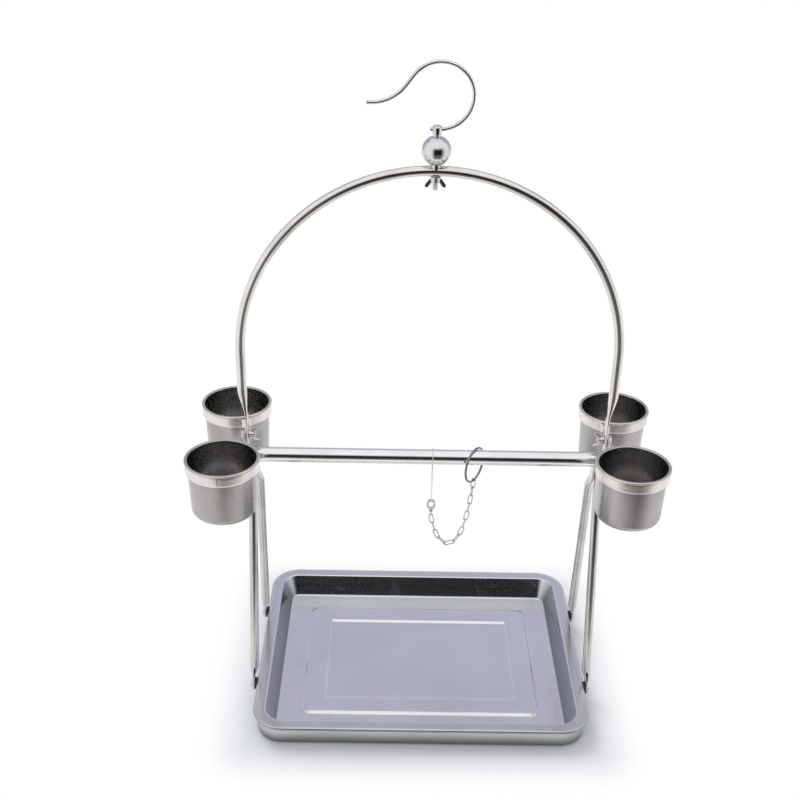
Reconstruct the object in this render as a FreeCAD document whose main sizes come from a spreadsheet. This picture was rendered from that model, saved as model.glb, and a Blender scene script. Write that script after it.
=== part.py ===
import FreeCAD, Part
import math
import os
import re
import Sketcher

# Perch stand: a tray on the floor, four legs, a perch bar, a bow over it with a hook,
# two bands with two cups each, and a chain leash that hangs on the bar.
# Millimetres. Origin on the floor in the middle of the tray, X along the bar, Y to the back, Z up.

# Driving sizes
SIZES = (
    ("tray_length", "300"),
    ("tray_width", "234"),
    ("tray_height", "20.4"),
    ("rim_corner", "27.5"),
    ("rim_width", "10.9"),
    ("rim_round", "1.5"),
    ("lip_height", "3"),
    ("tray_sheet", "0.9"),
    ("wall_run", "8.6"),
    ("floor_fillet", "2.5"),
    ("skirt_recess", "3.3"),
    ("skirt_round", "3.8"),
    ("skirt_turn", "2"),
    ("frame_length", "215"),
    ("frame_width", "151.4"),
    ("frame_band", "20"),
    ("frame_corner", "6"),
    ("frame_rise", "1.2"),
    ("frame_round", "0.7"),
    ("foot_height", "14.4"),
    ("foot_depth", "52.5"),
    ("foot_bolt", "4"),
    ("foot_head", "7.6"),
    ("foot_head_rise", "2.4"),
    ("foot_nut", "7"),
    ("foot_nut_rise", "3.2"),
    ("foot_bolt_spare", "0.6"),
    ("bush_flange", "11"),
    ("bush_barrel", "5.6"),
    ("bush_gap", "0.15"),
    ("bush_flange_rise", "1.95"),
    ("leg_tube", "7.8"),
    ("leg_wall", "0.9"),
    ("tab_thick", "2.2"),
    ("tab_wide", "11.5"),
    ("tab_slit", "0.4"),
    ("leg_set", "1.3"),
    ("foot_set", "0.7"),
    ("foot_tab", "7"),
    ("foot_taper", "11"),
    ("top_tab", "22"),
    ("top_taper", "10"),
    ("perch_height", "228.4"),
    ("perch_length", "294.8"),
    ("perch_tube_size", "13.4"),
    ("perch_wall", "1"),
    ("plug_length", "20"),
    ("plug_gap", "0.02"),
    ("perch_bolt", "4"),
    ("perch_bolt_grip", "14"),
    ("spacer_size", "9"),
    ("spacer_length", "2.6"),
    ("arch_tube_size", "8.3"),
    ("arch_wall", "1"),
    ("arch_set", "2.9"),
    ("arch_rise", "98.1"),
    ("blade_length", "39.6"),
    ("blade_taper", "25"),
    ("bolt_rise", "19.8"),
    ("band_bolt", "4"),
    ("band_bolt_head", "8"),
    ("band_bolt_rise", "2.6"),
    ("band_bolt_spare", "1.2"),
    ("band_thick", "1"),
    ("band_tall", "8.4"),
    ("band_neck", "5"),
    ("neck_open", "1.2"),
    ("band_seam", "0.5"),
    ("loop_out", "13.2"),
    ("cup_depth", "50.05"),
    ("cup_rise", "5.8"),
    ("cup_tall", "51.4"),
    ("cup_wide", "58.4"),
    ("cup_base", "55.4"),
    ("cup_wall", "0.7"),
    ("cup_round", "6"),
    ("cup_bead", "2"),
    ("cup_lip", "1.2"),
    ("cup_gap", "0.6"),
    ("cup_rest", "0.1"),
    ("nut_hub", "8.4"),
    ("nut_collar", "7.2"),
    ("nut_rise", "4.6"),
    ("nut_low", "1.2"),
    ("wing_root", "2.3"),
    ("wing_reach", "8.4"),
    ("wing_rise", "8.8"),
    ("wing_tip", "1.7"),
    ("wing_thick", "1.5"),
    ("ball_size", "23.2"),
    ("saddle_size", "8"),
    ("saddle_rise", "0.96"),
    ("stud_shank", "4"),
    ("stud_neck", "6"),
    ("stud_head", "7.6"),
    ("stud_seat", "9.6"),
    ("stud_collar", "3.1"),
    ("stud_head_rise", "6.9"),
    ("stud_round", "2.4"),
    ("stud_tail", "10.75"),
    ("hook_wire", "3"),
    ("hook_eye_gap", "0.1"),
    ("hook_drop", "3.2"),
    ("hook_radius", "25.2"),
    ("hook_stub", "6"),
    ("hook_run", "11.2"),
    ("hook_back_radius", "32.2"),
    ("hook_tip", "4.5"),
    ("leash_place", "43"),
    ("leash_ring_wire", "2"),
    ("leash_ring_bore", "29.2"),
    ("link_long", "11"),
    ("link_wide", "4.6"),
    ("link_wire", "1.1"),
    ("link_gap", "0.15"),
    ("jump_size", "6.4"),
    ("clasp_long", "13"),
    ("clasp_wide", "7.6"),
    ("clasp_rim", "1.6"),
    ("clasp_thick", "1.8"),
    ("clasp_eye", "3.4"),
    ("clasp_eye_bore", "1.8"),
    ("loop_wire", "0.9"),
    ("loop_low", "1.7"),
    ("loop_gap", "0.55"),
    ("free_gap", "0.3"),
    ("run_gap", "0.05"),
    ("seat_gap", "0.05"),
    ("overrun", "1"),
)

# Shares and angles, which stay the same at any size
HOOK_SWEEP = 142
LEASH_YAW = 33
DRAPE_SHARES = (1.2722, 8.2344)
SCREW_EDGE_SHARE = 1 / 3
INNER_CORNER_SHARE = 0.5
HOOK_START_SHARE = 0.25
CLASP_SINK_SHARE = 0.25
SAME_SHARE = 0.1
LINK_COUNT = 13
TWIST_LINKS = 6
NUT_TURNS = {"left": 15, "right": -15, "top": 0}

doc = FreeCAD.newDocument("BirdPerchStand")
sheet = doc.addObject("Spreadsheet::Sheet", "Sizes")
for row, (name, value) in enumerate(SIZES, 1):
    sheet.set(f"A{row}", name)
    sheet.set(f"B{row}", value)
    sheet.setAlias(f"B{row}", name)
doc.recompute()

NAMES = re.compile(r"\b(" + "|".join(name for name, value in SIZES) + r")\b")
ORIGIN = (-1, 1)
AXIS_X = FreeCAD.Vector(1, 0, 0)
AXIS_Z = FreeCAD.Vector(0, 0, 1)
nodes = []


def tied(expression):
    """The expression with every size name pointed at the sheet."""
    return NAMES.sub(r"Sizes.\1", str(expression))


def size(expression):
    """The present value of an expression of size names."""
    return float(sheet.evalExpression(str(expression)))


def new_body(label, keep=True):
    """A new body; a kept one is written out as a node of its own."""
    body = doc.addObject("PartDesign::Body", label)
    body.Label = label
    if keep:
        nodes.append(body)
    return body


def new_sketch(body, role, offset="0"):
    """A sketch on one of the body's own origin planes, moved along its normal."""
    sketch = body.newObject("Sketcher::SketchObject", f"{body.Label}_sketch")
    plane = next(item for item in body.Origin.OriginFeatures if item.Role == role)
    sketch.AttachmentSupport = [(plane, "")]
    sketch.MapMode = "FlatFace"
    if offset != "0":
        sketch.setExpression("AttachmentOffset.Base.z", tied(offset))
    return sketch


def hold(sketch, kind, places, expression):
    """A constraint whose value follows the expression."""
    number = sketch.addConstraint(Sketcher.Constraint(kind, *places, size(expression)))
    if expression != "0":
        sketch.setExpression(f"Constraints[{number}]", tied(expression))


def pin(sketch, item, vertex, x, y):
    """Fix one vertex of a sketch at x, y from the sketch's origin."""
    hold(sketch, "DistanceX", (*ORIGIN, item, vertex), x)
    hold(sketch, "DistanceY", (*ORIGIN, item, vertex), y)


def arc_between(start, end, centre, turn):
    """The arc from start to end round centre, turning left or right."""
    middle = FreeCAD.Vector(*centre, 0)
    radius = math.dist(start, centre)
    angles = [math.atan2(point[1] - centre[1], point[0] - centre[0]) for point in (start, end)]
    if turn == "right":
        angles.reverse()
    if angles[1] <= angles[0]:
        angles[1] += 2 * math.pi
    return Part.ArcOfCircle(Part.Circle(middle, AXIS_Z, radius), *angles)


def draw(sketch, corners, closed=True):
    """Lines and arcs from corner to corner.

    A corner is (x, y) where a line arrives, or (x, y, centre x, centre y, turn) where an arc arrives.
    """
    places = [(size(corner[0]), size(corner[1])) for corner in corners]
    steps = list(range(1, len(corners))) + ([0] if closed else [])
    ends = []
    for step in steps:
        start, end = places[step - 1], places[step]
        corner = corners[step]
        if len(corner) == 2:
            line = Part.LineSegment(FreeCAD.Vector(*start, 0), FreeCAD.Vector(*end, 0))
            ends.append((sketch.addGeometry(line), 1, 2))
            continue
        centre = (size(corner[2]), size(corner[3]))
        item = sketch.addGeometry(arc_between(start, end, centre, corner[4]))
        ends.append((item, 1, 2) if corner[4] == "left" else (item, 2, 1))
    for before, after in zip(ends, ends[1:] + (ends[:1] if closed else [])):
        joint = (before[0], before[2], after[0], after[1])
        sketch.addConstraint(Sketcher.Constraint("Coincident", *joint))
    if not closed:
        pin(sketch, ends[0][0], ends[0][1], *corners[0])
    for step, (item, entry, leave) in zip(steps, ends):
        corner = corners[step]
        pin(sketch, item, leave, *corner[:2])
        if len(corner) == 2:
            continue
        across = [abs(places[step][axis] - places[step - 1][axis]) for axis in (0, 1)]
        kind, value = ("DistanceY", corner[3]) if across[0] > across[1] else ("DistanceX", corner[2])
        hold(sketch, kind, (*ORIGIN, item, 3), value)


def ring(sketch, x, y, *radii):
    """Circles of the given radii round one centre."""
    for radius in radii:
        circle = Part.Circle(FreeCAD.Vector(size(x), size(y), 0), AXIS_Z, size(radius))
        item = sketch.addGeometry(circle)
        pin(sketch, item, 3, x, y)
        hold(sketch, "Radius", (item,), radius)


def box_corners(length, width, corner):
    """The corners of a rounded rectangle round the origin, for draw."""
    x, y = f"(({length}) / 2)", f"(({width}) / 2)"
    flat_x, flat_y = f"({x} - ({corner}))", f"({y} - ({corner}))"
    return [
        (x, "0"),
        (x, flat_y),
        (flat_x, y, flat_x, flat_y, "left"),
        (f"-{flat_x}", y),
        (f"-{x}", flat_y, f"-{flat_x}", flat_y, "left"),
        (f"-{x}", f"-{flat_y}"),
        (f"-{flat_x}", f"-{y}", f"-{flat_x}", f"-{flat_y}", "left"),
        (flat_x, f"-{y}"),
        (x, f"-{flat_y}", flat_x, f"-{flat_y}", "left"),
    ]


def feature(body, kind, sketch, **values):
    """A feature of the body made from a sketch, with its lengths tied to the sheet."""
    made = body.newObject(f"PartDesign::{kind}", f"{body.Label}_{kind}")
    made.Profile = sketch
    for key, value in values.items():
        if isinstance(value, str) and key in ("Length", "Radius"):
            made.setExpression(key, tied(value))
        else:
            setattr(made, key, value)
    body.Tip = made
    doc.recompute()


def turned(body, corners):
    """A solid of revolution round the local Z axis."""
    sketch = new_sketch(body, "XZ_Plane")
    draw(sketch, corners)
    feature(body, "Revolution", sketch, ReferenceAxis=(sketch, ["V_Axis"]), Angle=360)


def pipe(body, profile, path):
    """The profile carried along every edge of the path sketch."""
    doc.recompute()
    edges = [f"Edge{number + 1}" for number in range(len(path.Shape.Edges))]
    feature(body, "AdditivePipe", profile, Spine=(path, edges))


def edges_where(shape, test):
    """Names of the edges whose middle point passes the test."""
    found = []
    for number, edge in enumerate(shape.Edges, 1):
        middle = edge.valueAt((edge.FirstParameter + edge.LastParameter) / 2)
        if test(middle, edge):
            found.append(f"Edge{number}")
    return found


def rounded(body, radius, test):
    """Round the edges of the body's last feature that pass the test."""
    base = body.Tip
    made = body.newObject("PartDesign::Fillet", f"{body.Label}_Fillet")
    made.Base = (base, edges_where(base.Shape, test))
    made.setExpression("Radius", tied(radius))
    body.Tip = made
    doc.recompute()


def near(first, second):
    """Two lengths that are the same but for rounding."""
    return abs(first - second) < size("run_gap") * SAME_SHARE


def place(item, spot, axis=AXIS_Z, degrees=0.0):
    """Put an object at a spot, turned about an axis."""
    rotation = axis if isinstance(axis, FreeCAD.Rotation) else FreeCAD.Rotation(axis, degrees)
    item.Placement = FreeCAD.Placement(FreeCAD.Vector(*spot), rotation)


def group(label, items):
    """Several alike solids as one node."""
    made = doc.addObject("Part::Compound", label)
    made.Label = label
    made.Links = items
    nodes.append(made)


# Places that several pieces share
HALF = "(tray_length / 2)"
INNER = f"({HALF} - rim_width)"
SKIRT = f"({HALF} - skirt_recess)"
FOOT_TAB = f"({HALF} + bush_gap + bush_flange_rise)"
PERCH_END = "(perch_length / 2)"
FRONT_TAB = f"({PERCH_END} + tab_thick)"
SPACER = f"({FRONT_TAB} + tab_thick)"
BLADE = f"({SPACER} + spacer_length)"
BLADE_OUT = f"({BLADE} + tab_thick)"
ARCH = f"({BLADE} + tab_thick / 2 + arch_set)"
WAIST = f"({BLADE_OUT} + seat_gap)"
WAIST_OUT = f"({WAIST} + band_thick * 2)"
LOOP_X = f"({WAIST} + band_thick + loop_out)"
BLADE_TOP = "(perch_height + blade_length)"
BOLT = "(perch_height + bolt_rise)"
CUP_TOP = f"({BOLT} + cup_rise)"
BAND_TOP = f"({CUP_TOP} - cup_bead - cup_rest)"
SPRING = "(perch_height + arch_rise)"
CREST = f"({SPRING} + {ARCH} + arch_tube_size / 2)"
BALL_SEAT = f"({CREST} + saddle_rise)"
BALL = f"({BALL_SEAT} + sqrt((ball_size / 2) ^ 2 - (saddle_size / 2) ^ 2))"
STUD_STEP = f"({BALL} + stud_seat)"
STUD_SHOULDER = f"({STUD_STEP} + stud_collar)"
STUD_TOP = f"({STUD_SHOULDER} + stud_head_rise)"
HOOK_EYE = f"({STUD_TOP} - hook_drop)"
SIDES = {"left": -1, "right": 1}
ROWS = {"front": -1, "back": 1}


def make_tray():
    """The pressed tray: the edge section carried round the rim, the floor, and its raised frame."""
    body = new_body("tray")
    lip = "(lip_height / 2)"
    under = "(tray_height - lip_height)"
    section = new_sketch(body, "XZ_Plane")
    foot = f"({SKIRT} - skirt_round)"
    rise = "(tray_height - tray_sheet)"
    slope = f"sqrt(wall_run ^ 2 + {rise} ^ 2)"
    lean_x, lean_z = f"(wall_run / {slope})", f"({rise} / {slope})"
    bend_share = f"({rise} / ({slope} + wall_run))"
    inset = f"(rim_width + wall_run + floor_fillet * {bend_share})"
    flat = f"({HALF} - {inset})"
    floor_middle = (flat, "(tray_sheet + floor_fillet)")
    rim_middle = (f"({INNER} + rim_round * {bend_share})", "(tray_height - rim_round)")

    def leaning(middle, radius):
        """The point at a radius from a bend's middle where the leaning wall starts or ends."""
        return f"{middle[0]} + ({radius}) * {lean_z}", f"{middle[1]} - ({radius}) * {lean_x}"

    draw(section, [
        (flat, "tray_sheet"),
        (*leaning(floor_middle, "floor_fillet"), *floor_middle, "left"),
        leaning(rim_middle, "-rim_round"),
        (rim_middle[0], "tray_height", *rim_middle, "right"),
        (f"{HALF} - {lip}", "tray_height"),
        (HALF, f"tray_height - {lip}", f"{HALF} - {lip}", f"tray_height - {lip}", "right"),
        (f"{HALF} - {lip}", under, f"{HALF} - {lip}", f"tray_height - {lip}", "right"),
        (SKIRT, under),
        (SKIRT, "skirt_round"),
        (foot, "0", foot, "skirt_round", "right"),
        (f"{foot} - skirt_turn", "0"),
        (f"{foot} - skirt_turn", "tray_sheet"),
        (foot, "tray_sheet"),
        (f"{SKIRT} - tray_sheet", "skirt_round", foot, "skirt_round", "left"),
        (f"{SKIRT} - tray_sheet", f"{under} + tray_sheet"),
        (f"{HALF} - {lip}", f"{under} + tray_sheet"),
        (f"{HALF} - {lip}", "tray_height - tray_sheet",
         f"{HALF} - {lip}", f"tray_height - {lip}", "left"),
        (rim_middle[0], "tray_height - tray_sheet"),
        (*leaning(rim_middle, "tray_sheet - rim_round"), *rim_middle, "left"),
        leaning(floor_middle, "floor_fillet + tray_sheet"),
        (flat, "0", *floor_middle, "right"),
    ])
    path = new_sketch(body, "XY_Plane")
    draw(path, box_corners("tray_length", "tray_width", "rim_corner"))
    pipe(body, section, path)
    floor = new_sketch(body, "XY_Plane")
    draw(floor, box_corners(f"tray_length - 2 * {inset}", f"tray_width - 2 * {inset}",
                            f"rim_corner - {inset}"))
    feature(body, "Pad", floor, Length="tray_sheet")
    raised = new_sketch(body, "XY_Plane", "tray_sheet")
    draw(raised, box_corners("frame_length", "frame_width", "frame_corner"))
    inner_corner = f"frame_corner * {INNER_CORNER_SHARE}"
    draw(raised, box_corners("frame_length - 2 * frame_band", "frame_width - 2 * frame_band", inner_corner))
    feature(body, "Pad", raised, Length="frame_rise")
    top = size("tray_sheet + frame_rise")
    rounded(body, "frame_round",
            lambda middle, edge: near(edge.BoundBox.ZMin, top) and near(edge.BoundBox.ZMax, top))
    groove = new_sketch(body, "XY_Plane")
    draw(groove, box_corners("frame_length - 2 * tray_sheet", "frame_width - 2 * tray_sheet",
                             "frame_corner - tray_sheet"))
    draw(groove, box_corners("frame_length - 2 * frame_band + 2 * tray_sheet",
                             "frame_width - 2 * frame_band + 2 * tray_sheet", f"{inner_corner} + tray_sheet"))
    feature(body, "Pocket", groove, Length="frame_rise", Reversed=True)
    for sign in SIDES.values():
        holes = new_sketch(body, "YZ_Plane", f"{sign} * ({SKIRT} + overrun)")
        for row in ROWS.values():
            ring(holes, f"{row} * foot_depth", "foot_height", "foot_bolt / 2 + run_gap")
        feature(body, "Pocket", holes, Length="tray_sheet + 2 * overrun", Reversed=sign < 0)


def make_screw(label, shank, head, rise, length, keep=False):
    """A round-headed screw along local Z, its head above zero."""
    body = new_body(label, keep)
    edge = f"({rise} * {SCREW_EDGE_SHARE})"
    dome = f"({rise} - {edge})"
    middle = f"({edge} + ({dome} ^ 2 - ({head} / 2) ^ 2) / (2 * {dome}))"
    turned(body, [
        ("0", f"-({length})"),
        (f"{shank} / 2", f"-({length})"),
        (f"{shank} / 2", "0"),
        (f"{head} / 2", "0"),
        (f"{head} / 2", edge),
        ("0", rise, "0", middle, "left"),
    ])
    return body


def make_sleeve(label, bore, outer, length, keep=False):
    """A plain round sleeve along local Z."""
    body = new_body(label, keep)
    sketch = new_sketch(body, "XY_Plane")
    ring(sketch, "0", "0", f"({outer}) / 2", bore)
    feature(body, "Pad", sketch, Length=length)
    return body


def outward(sign):
    """The rotation that lays local Z along X, away from the middle."""
    return FreeCAD.Rotation(AXIS_Z, AXIS_X * sign)


def make_feet():
    """Screws, nuts and flanged bushes at the four feet."""
    screws, nuts, bushes = [], [], []
    for side, sign in SIDES.items():
        for row, depth in ROWS.items():
            spot = (depth * size("foot_depth"), size("foot_height"))
            tail = f"{row}_{side}"
            grip = f"{FOOT_TAB} + tab_thick - {SKIRT} + tray_sheet + foot_nut_rise + foot_bolt_spare"
            screw = make_screw(f"tray_screw_{tail}", "foot_bolt", "foot_head", "foot_head_rise", grip)
            place(screw, (sign * size(f"{FOOT_TAB} + tab_thick"), *spot), outward(sign))
            screws.append(screw)
            nut = new_body(f"tray_nut_{tail}", keep=False)
            sketch = new_sketch(nut, "XY_Plane")
            point, half = "(foot_nut / sqrt(3))", "(foot_nut / 2)"
            draw(sketch, [(point, "0"), (f"{point} / 2", half), (f"-{point} / 2", half), (f"-{point}", "0"),
                          (f"-{point} / 2", f"-{half}"), (f"{point} / 2", f"-{half}")])
            ring(sketch, "0", "0", "foot_bolt / 2 + run_gap")
            feature(nut, "Pad", sketch, Length="foot_nut_rise")
            place(nut, (sign * size(f"{SKIRT} - tray_sheet"), *spot), outward(-sign))
            nuts.append(nut)
            bush = new_body(f"tray_bush_{tail}", keep=False)
            bore = "(foot_bolt / 2 + run_gap)"
            step = f"({HALF} + bush_gap - {SKIRT})"
            outer = f"{step} + bush_flange_rise"
            turned(bush, [(bore, "0"), ("bush_barrel / 2", "0"), ("bush_barrel / 2", step),
                          ("bush_flange / 2", step), ("bush_flange / 2", outer), (bore, outer)])
            place(bush, (sign * size(SKIRT), *spot), outward(sign))
            bushes.append(bush)
    group("tray_screws", screws)
    group("tray_nuts", nuts)
    group("tray_bushes", bushes)


def round_section(body, x, height, radius):
    """A circle of four arcs, thin side along X, for a loft."""
    sketch = new_sketch(body, "XY_Plane", height)
    reach = f"({radius}) / sqrt(2)"
    right, left = f"{x} + {reach}", f"{x} - {reach}"
    draw(sketch, [(right, f"-{reach}", x, "0", "left"), (right, reach, x, "0", "left"),
                  (left, reach, x, "0", "left"), (left, f"-{reach}", x, "0", "left")])
    return sketch


def flat_section(body, x, height, thick, wide):
    """A flattened tube's outline, thin side along X, for a loft."""
    sketch = new_sketch(body, "XY_Plane", height)
    half = f"({thick}) / 2"
    end = f"(({wide}) / 2 - {half})"
    right, left = f"{x} + {half}", f"{x} - {half}"
    draw(sketch, [(right, f"-{end}", x, f"-{end}", "left"), (right, end),
                  (left, end, x, end, "left"), (left, f"-{end}")])
    return sketch


def flattened(body, stations, tube, wall):
    """A tube lofted through stations of (kind, x, height), with its bore squeezed to a slit."""
    for kind, reduce in (("AdditiveLoft", "0"), ("SubtractiveLoft", wall)):
        sections = []
        for shape, x, height in stations:
            if shape == "round":
                sections.append(round_section(body, x, height, f"{tube} / 2 - {reduce}"))
            elif reduce == "0":
                sections.append(flat_section(body, x, height, "tab_thick", "tab_wide"))
            else:
                sections.append(flat_section(body, x, height, "tab_slit", "tab_wide - tab_thick + tab_slit"))
        doc.recompute()
        feature(body, kind, sections[0], Sections=sections[1:], Ruled=True)


def tab_end(body, x, height, bore):
    """Round off a tab about its hole, and drill the hole."""
    disc = new_sketch(body, "YZ_Plane", f"{x} - tab_thick / 2")
    ring(disc, "0", height, "tab_wide / 2")
    feature(body, "Pad", disc, Length="tab_thick")
    hole = new_sketch(body, "YZ_Plane", f"{x} - tab_thick / 2 - overrun")
    ring(hole, "0", height, f"{bore} / 2 + run_gap")
    feature(body, "Pocket", hole, Length="tab_thick + 2 * overrun", Reversed=True)


def make_leg(side, row):
    """One leg, drawn upright from its foot hole and then leant over to the bar."""
    sign = SIDES[side]
    body = new_body(f"leg_{row}_{side}")
    length = "sqrt(foot_depth ^ 2 + (perch_height - foot_height) ^ 2)"
    foot = f"({sign} * ({FOOT_TAB} + tab_thick / 2))"
    foot_tube = f"({sign} * ({FOOT_TAB} + tab_thick / 2 - foot_set))"
    if row == "back":
        top, top_tube = f"({PERCH_END} + tab_thick / 2)", f"({PERCH_END} + tab_thick / 2 - leg_set)"
    else:
        top, top_tube = f"({FRONT_TAB} + tab_thick / 2)", f"({FRONT_TAB} + tab_thick / 2 + leg_set)"
    top, top_tube = f"({sign} * {top})", f"({sign} * {top_tube})"
    flattened(body, [
        ("flat", foot, "0"),
        ("flat", foot, "foot_tab"),
        ("round", foot_tube, "foot_tab + foot_taper"),
        ("round", top_tube, f"{length} - top_tab - top_taper"),
        ("flat", top, f"{length} - top_tab"),
        ("flat", top, length),
    ], "leg_tube", "leg_wall")
    tab_end(body, foot, "0", "foot_bolt")
    tab_end(body, top, length, "perch_bolt")
    depth = ROWS[row] * size("foot_depth")
    lean = math.degrees(math.atan2(depth, size("perch_height - foot_height")))
    place(body, (0, depth, size("foot_height")), AXIS_X, lean)


def make_perch():
    """The bar with its end plugs, end screws and spacers."""
    bar = make_sleeve("perch_tube", "perch_tube_size / 2 - perch_wall", "perch_tube_size", "perch_length",
                      keep=True)
    place(bar, (-size(PERCH_END), 0, size("perch_height")), outward(1))
    screws, spacers = [], []
    for side, sign in SIDES.items():
        plug = make_sleeve(f"perch_plug_{side}", "perch_bolt / 2 + run_gap",
                           "perch_tube_size - 2 * perch_wall - 2 * plug_gap", "plug_length", keep=True)
        place(plug, (sign * size(PERCH_END), 0, size("perch_height")), outward(-sign))
        grip = f"{BLADE_OUT} - {PERCH_END} + perch_bolt_grip"
        screw = make_screw(f"perch_screw_{side}", "perch_bolt", "band_bolt_head", "band_bolt_rise", grip)
        place(screw, (sign * size(BLADE_OUT), 0, size("perch_height")), outward(sign))
        screws.append(screw)
        spacer = make_sleeve(f"perch_spacer_{side}", "perch_bolt / 2 + run_gap", "spacer_size",
                             "spacer_length")
        place(spacer, (sign * size(SPACER), 0, size("perch_height")), outward(sign))
        spacers.append(spacer)
    group("perch_screws", screws)
    group("perch_spacers", spacers)


def make_arch():
    """The bow: a round tube over the top, flattened to a blade at each end."""
    body = new_body("arch_tube")
    start = f"({BLADE_TOP} + blade_taper)"
    profile = new_sketch(body, "XY_Plane", start)
    ring(profile, ARCH, "0", "arch_tube_size / 2", "arch_tube_size / 2 - arch_wall")
    path = new_sketch(body, "XZ_Plane")
    top = f"({SPRING} + {ARCH})"
    draw(path, [
        (ARCH, start),
        (ARCH, SPRING),
        ("0", top, "0", SPRING, "left"),
        (f"-{ARCH}", SPRING, "0", SPRING, "left"),
        (f"-{ARCH}", start),
    ], closed=False)
    pipe(body, profile, path)
    for sign in SIDES.values():
        blade = f"({sign} * ({BLADE} + tab_thick / 2))"
        flattened(body, [
            ("flat", blade, "perch_height"),
            ("flat", blade, BLADE_TOP),
            ("round", f"({sign} * {ARCH})", start),
        ], "arch_tube_size", "arch_wall")
        tab_end(body, blade, "perch_height", "perch_bolt")
        hole = new_sketch(body, "YZ_Plane", f"{blade} - tab_thick / 2 - overrun")
        ring(hole, "0", BOLT, "band_bolt / 2 + run_gap")
        feature(body, "Pocket", hole, Length="tab_thick + 2 * overrun", Reversed=True)
    shank = new_sketch(body, "XY_Plane", f"{top} - arch_tube_size")
    ring(shank, "0", "0", "stud_shank / 2 + run_gap")
    feature(body, "Pocket", shank, Length="2 * arch_tube_size", Reversed=True)


def make_band(side):
    """A strip bent into two loops that meet at the bolt, drawn as one outline with two holes."""
    sign = SIDES[side]
    body = new_body(f"cup_band_{side}")
    sketch = new_sketch(body, "XY_Plane", f"{BAND_TOP} - band_tall")
    bore = "(cup_wide / 2 + cup_gap)"
    outer = f"({bore} + band_thick)"
    neck = "(band_neck + band_thick)"
    span = f"({outer} + band_neck)"
    bends, away = {}, {}
    for name, x in (("in", f"({WAIST} - band_neck)"), ("out", f"({WAIST_OUT} + band_neck)")):
        drop = f"sqrt({span} ^ 2 - ({x} - {LOOP_X}) ^ 2)"
        bends[name] = (x, f"(cup_depth - {drop})")
        away[name] = (f"(({x} - {LOOP_X}) / {span})", f"({drop} / {span})")

    def touch(name, radius):
        """The point of a loop's circle that lies towards a neck."""
        return f"{LOOP_X} + {radius} * {away[name][0]}", f"cup_depth - {radius} * {away[name][1]}"

    def mirrored(depth, corner):
        """A corner drawn for the back right loop, brought to this side and row."""
        spots = [f"{way} * ({value})" for way, value in zip((sign, depth) * 2, corner[:4])]
        if len(corner) < 5:
            return tuple(spots)
        return (*spots, corner[4] if sign * depth > 0 else {"left": "right", "right": "left"}[corner[4]])

    loop = (LOOP_X, "cup_depth")
    half = [
        (WAIST, bends["in"][1]),
        (*touch("in", outer), *bends["in"], "left"),
        (*touch("out", outer), *loop, "right"),
        (WAIST_OUT, bends["out"][1], *bends["out"], "left"),
    ]
    back = [
        (WAIST_OUT, bends["out"][1]),
        (*touch("out", outer), *bends["out"], "right"),
        (*touch("in", outer), *loop, "left"),
        (WAIST, bends["in"][1], *bends["in"], "right"),
    ]
    outline = [mirrored(ROWS["back"], corner) for corner in half]
    outline += [mirrored(ROWS["front"], corner) for corner in back]
    draw(sketch, [outline[-1]] + outline[:-1])
    lowest = f"({bends['out'][1]} + neck_open)"
    for depth in ROWS.values():
        draw(sketch, [mirrored(depth, corner) for corner in (
            (f"{WAIST} + band_thick", lowest),
            (f"{WAIST} + band_thick", bends["in"][1]),
            (*touch("in", bore), *bends["in"], "left"),
            (*touch("out", bore), *loop, "right"),
            (f"{bends['out'][0]} - sqrt({neck} ^ 2 - neck_open ^ 2)", lowest, *bends["out"], "left"),
        )])
    feature(body, "Pad", sketch, Length="band_tall")
    hole = new_sketch(body, "YZ_Plane", f"{sign} * ({WAIST} - overrun)")
    ring(hole, "0", BOLT, "band_bolt / 2 + run_gap")
    feature(body, "Pocket", hole, Length="2 * band_thick + 2 * overrun", Reversed=sign > 0)
    seam = new_sketch(body, "XZ_Plane", f"{-sign} * (cup_depth + {bore} - overrun)")
    low = f"{BAND_TOP} - band_tall - overrun"
    left, right = (f"{sign} * {LOOP_X} {way} band_seam / 2" for way in "-+")
    high = f"{BAND_TOP} + overrun"
    draw(seam, [(left, low), (right, low), (right, high), (left, high)])
    feature(body, "Pocket", seam, Length="band_thick + 2 * overrun", Reversed=sign < 0)


def make_cup(side, row):
    """A feeding cup turned from its section: floor, rounded edge, flared wall and rolled bead."""
    body = new_body(f"cup_{row}_{side}")
    bead = "(cup_bead / 2)"
    lip, inner = "(cup_wide / 2 + cup_lip)", "(cup_wide / 2 - cup_wall)"
    turned(body, [
        ("0", "0"),
        ("cup_base / 2 - cup_round", "0"),
        ("cup_base / 2", "cup_round", "cup_base / 2 - cup_round", "cup_round", "left"),
        ("cup_wide / 2", "cup_tall - cup_bead"),
        (lip, "cup_tall - cup_bead"),
        (f"{lip} + {bead}", f"cup_tall - {bead}", lip, f"cup_tall - {bead}", "left"),
        (lip, "cup_tall", lip, f"cup_tall - {bead}", "left"),
        (f"{inner} + {bead}", "cup_tall"),
        (inner, f"cup_tall - {bead}", f"{inner} + {bead}", f"cup_tall - {bead}", "left"),
        ("cup_base / 2 - cup_wall", "cup_round"),
        ("cup_base / 2 - cup_round", "cup_wall", "cup_base / 2 - cup_round", "cup_round", "right"),
        ("0", "cup_wall"),
    ])
    spot = (SIDES[side] * size(LOOP_X), ROWS[row] * size("cup_depth"), size(f"{CUP_TOP} - cup_tall"))
    place(body, spot)


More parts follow.
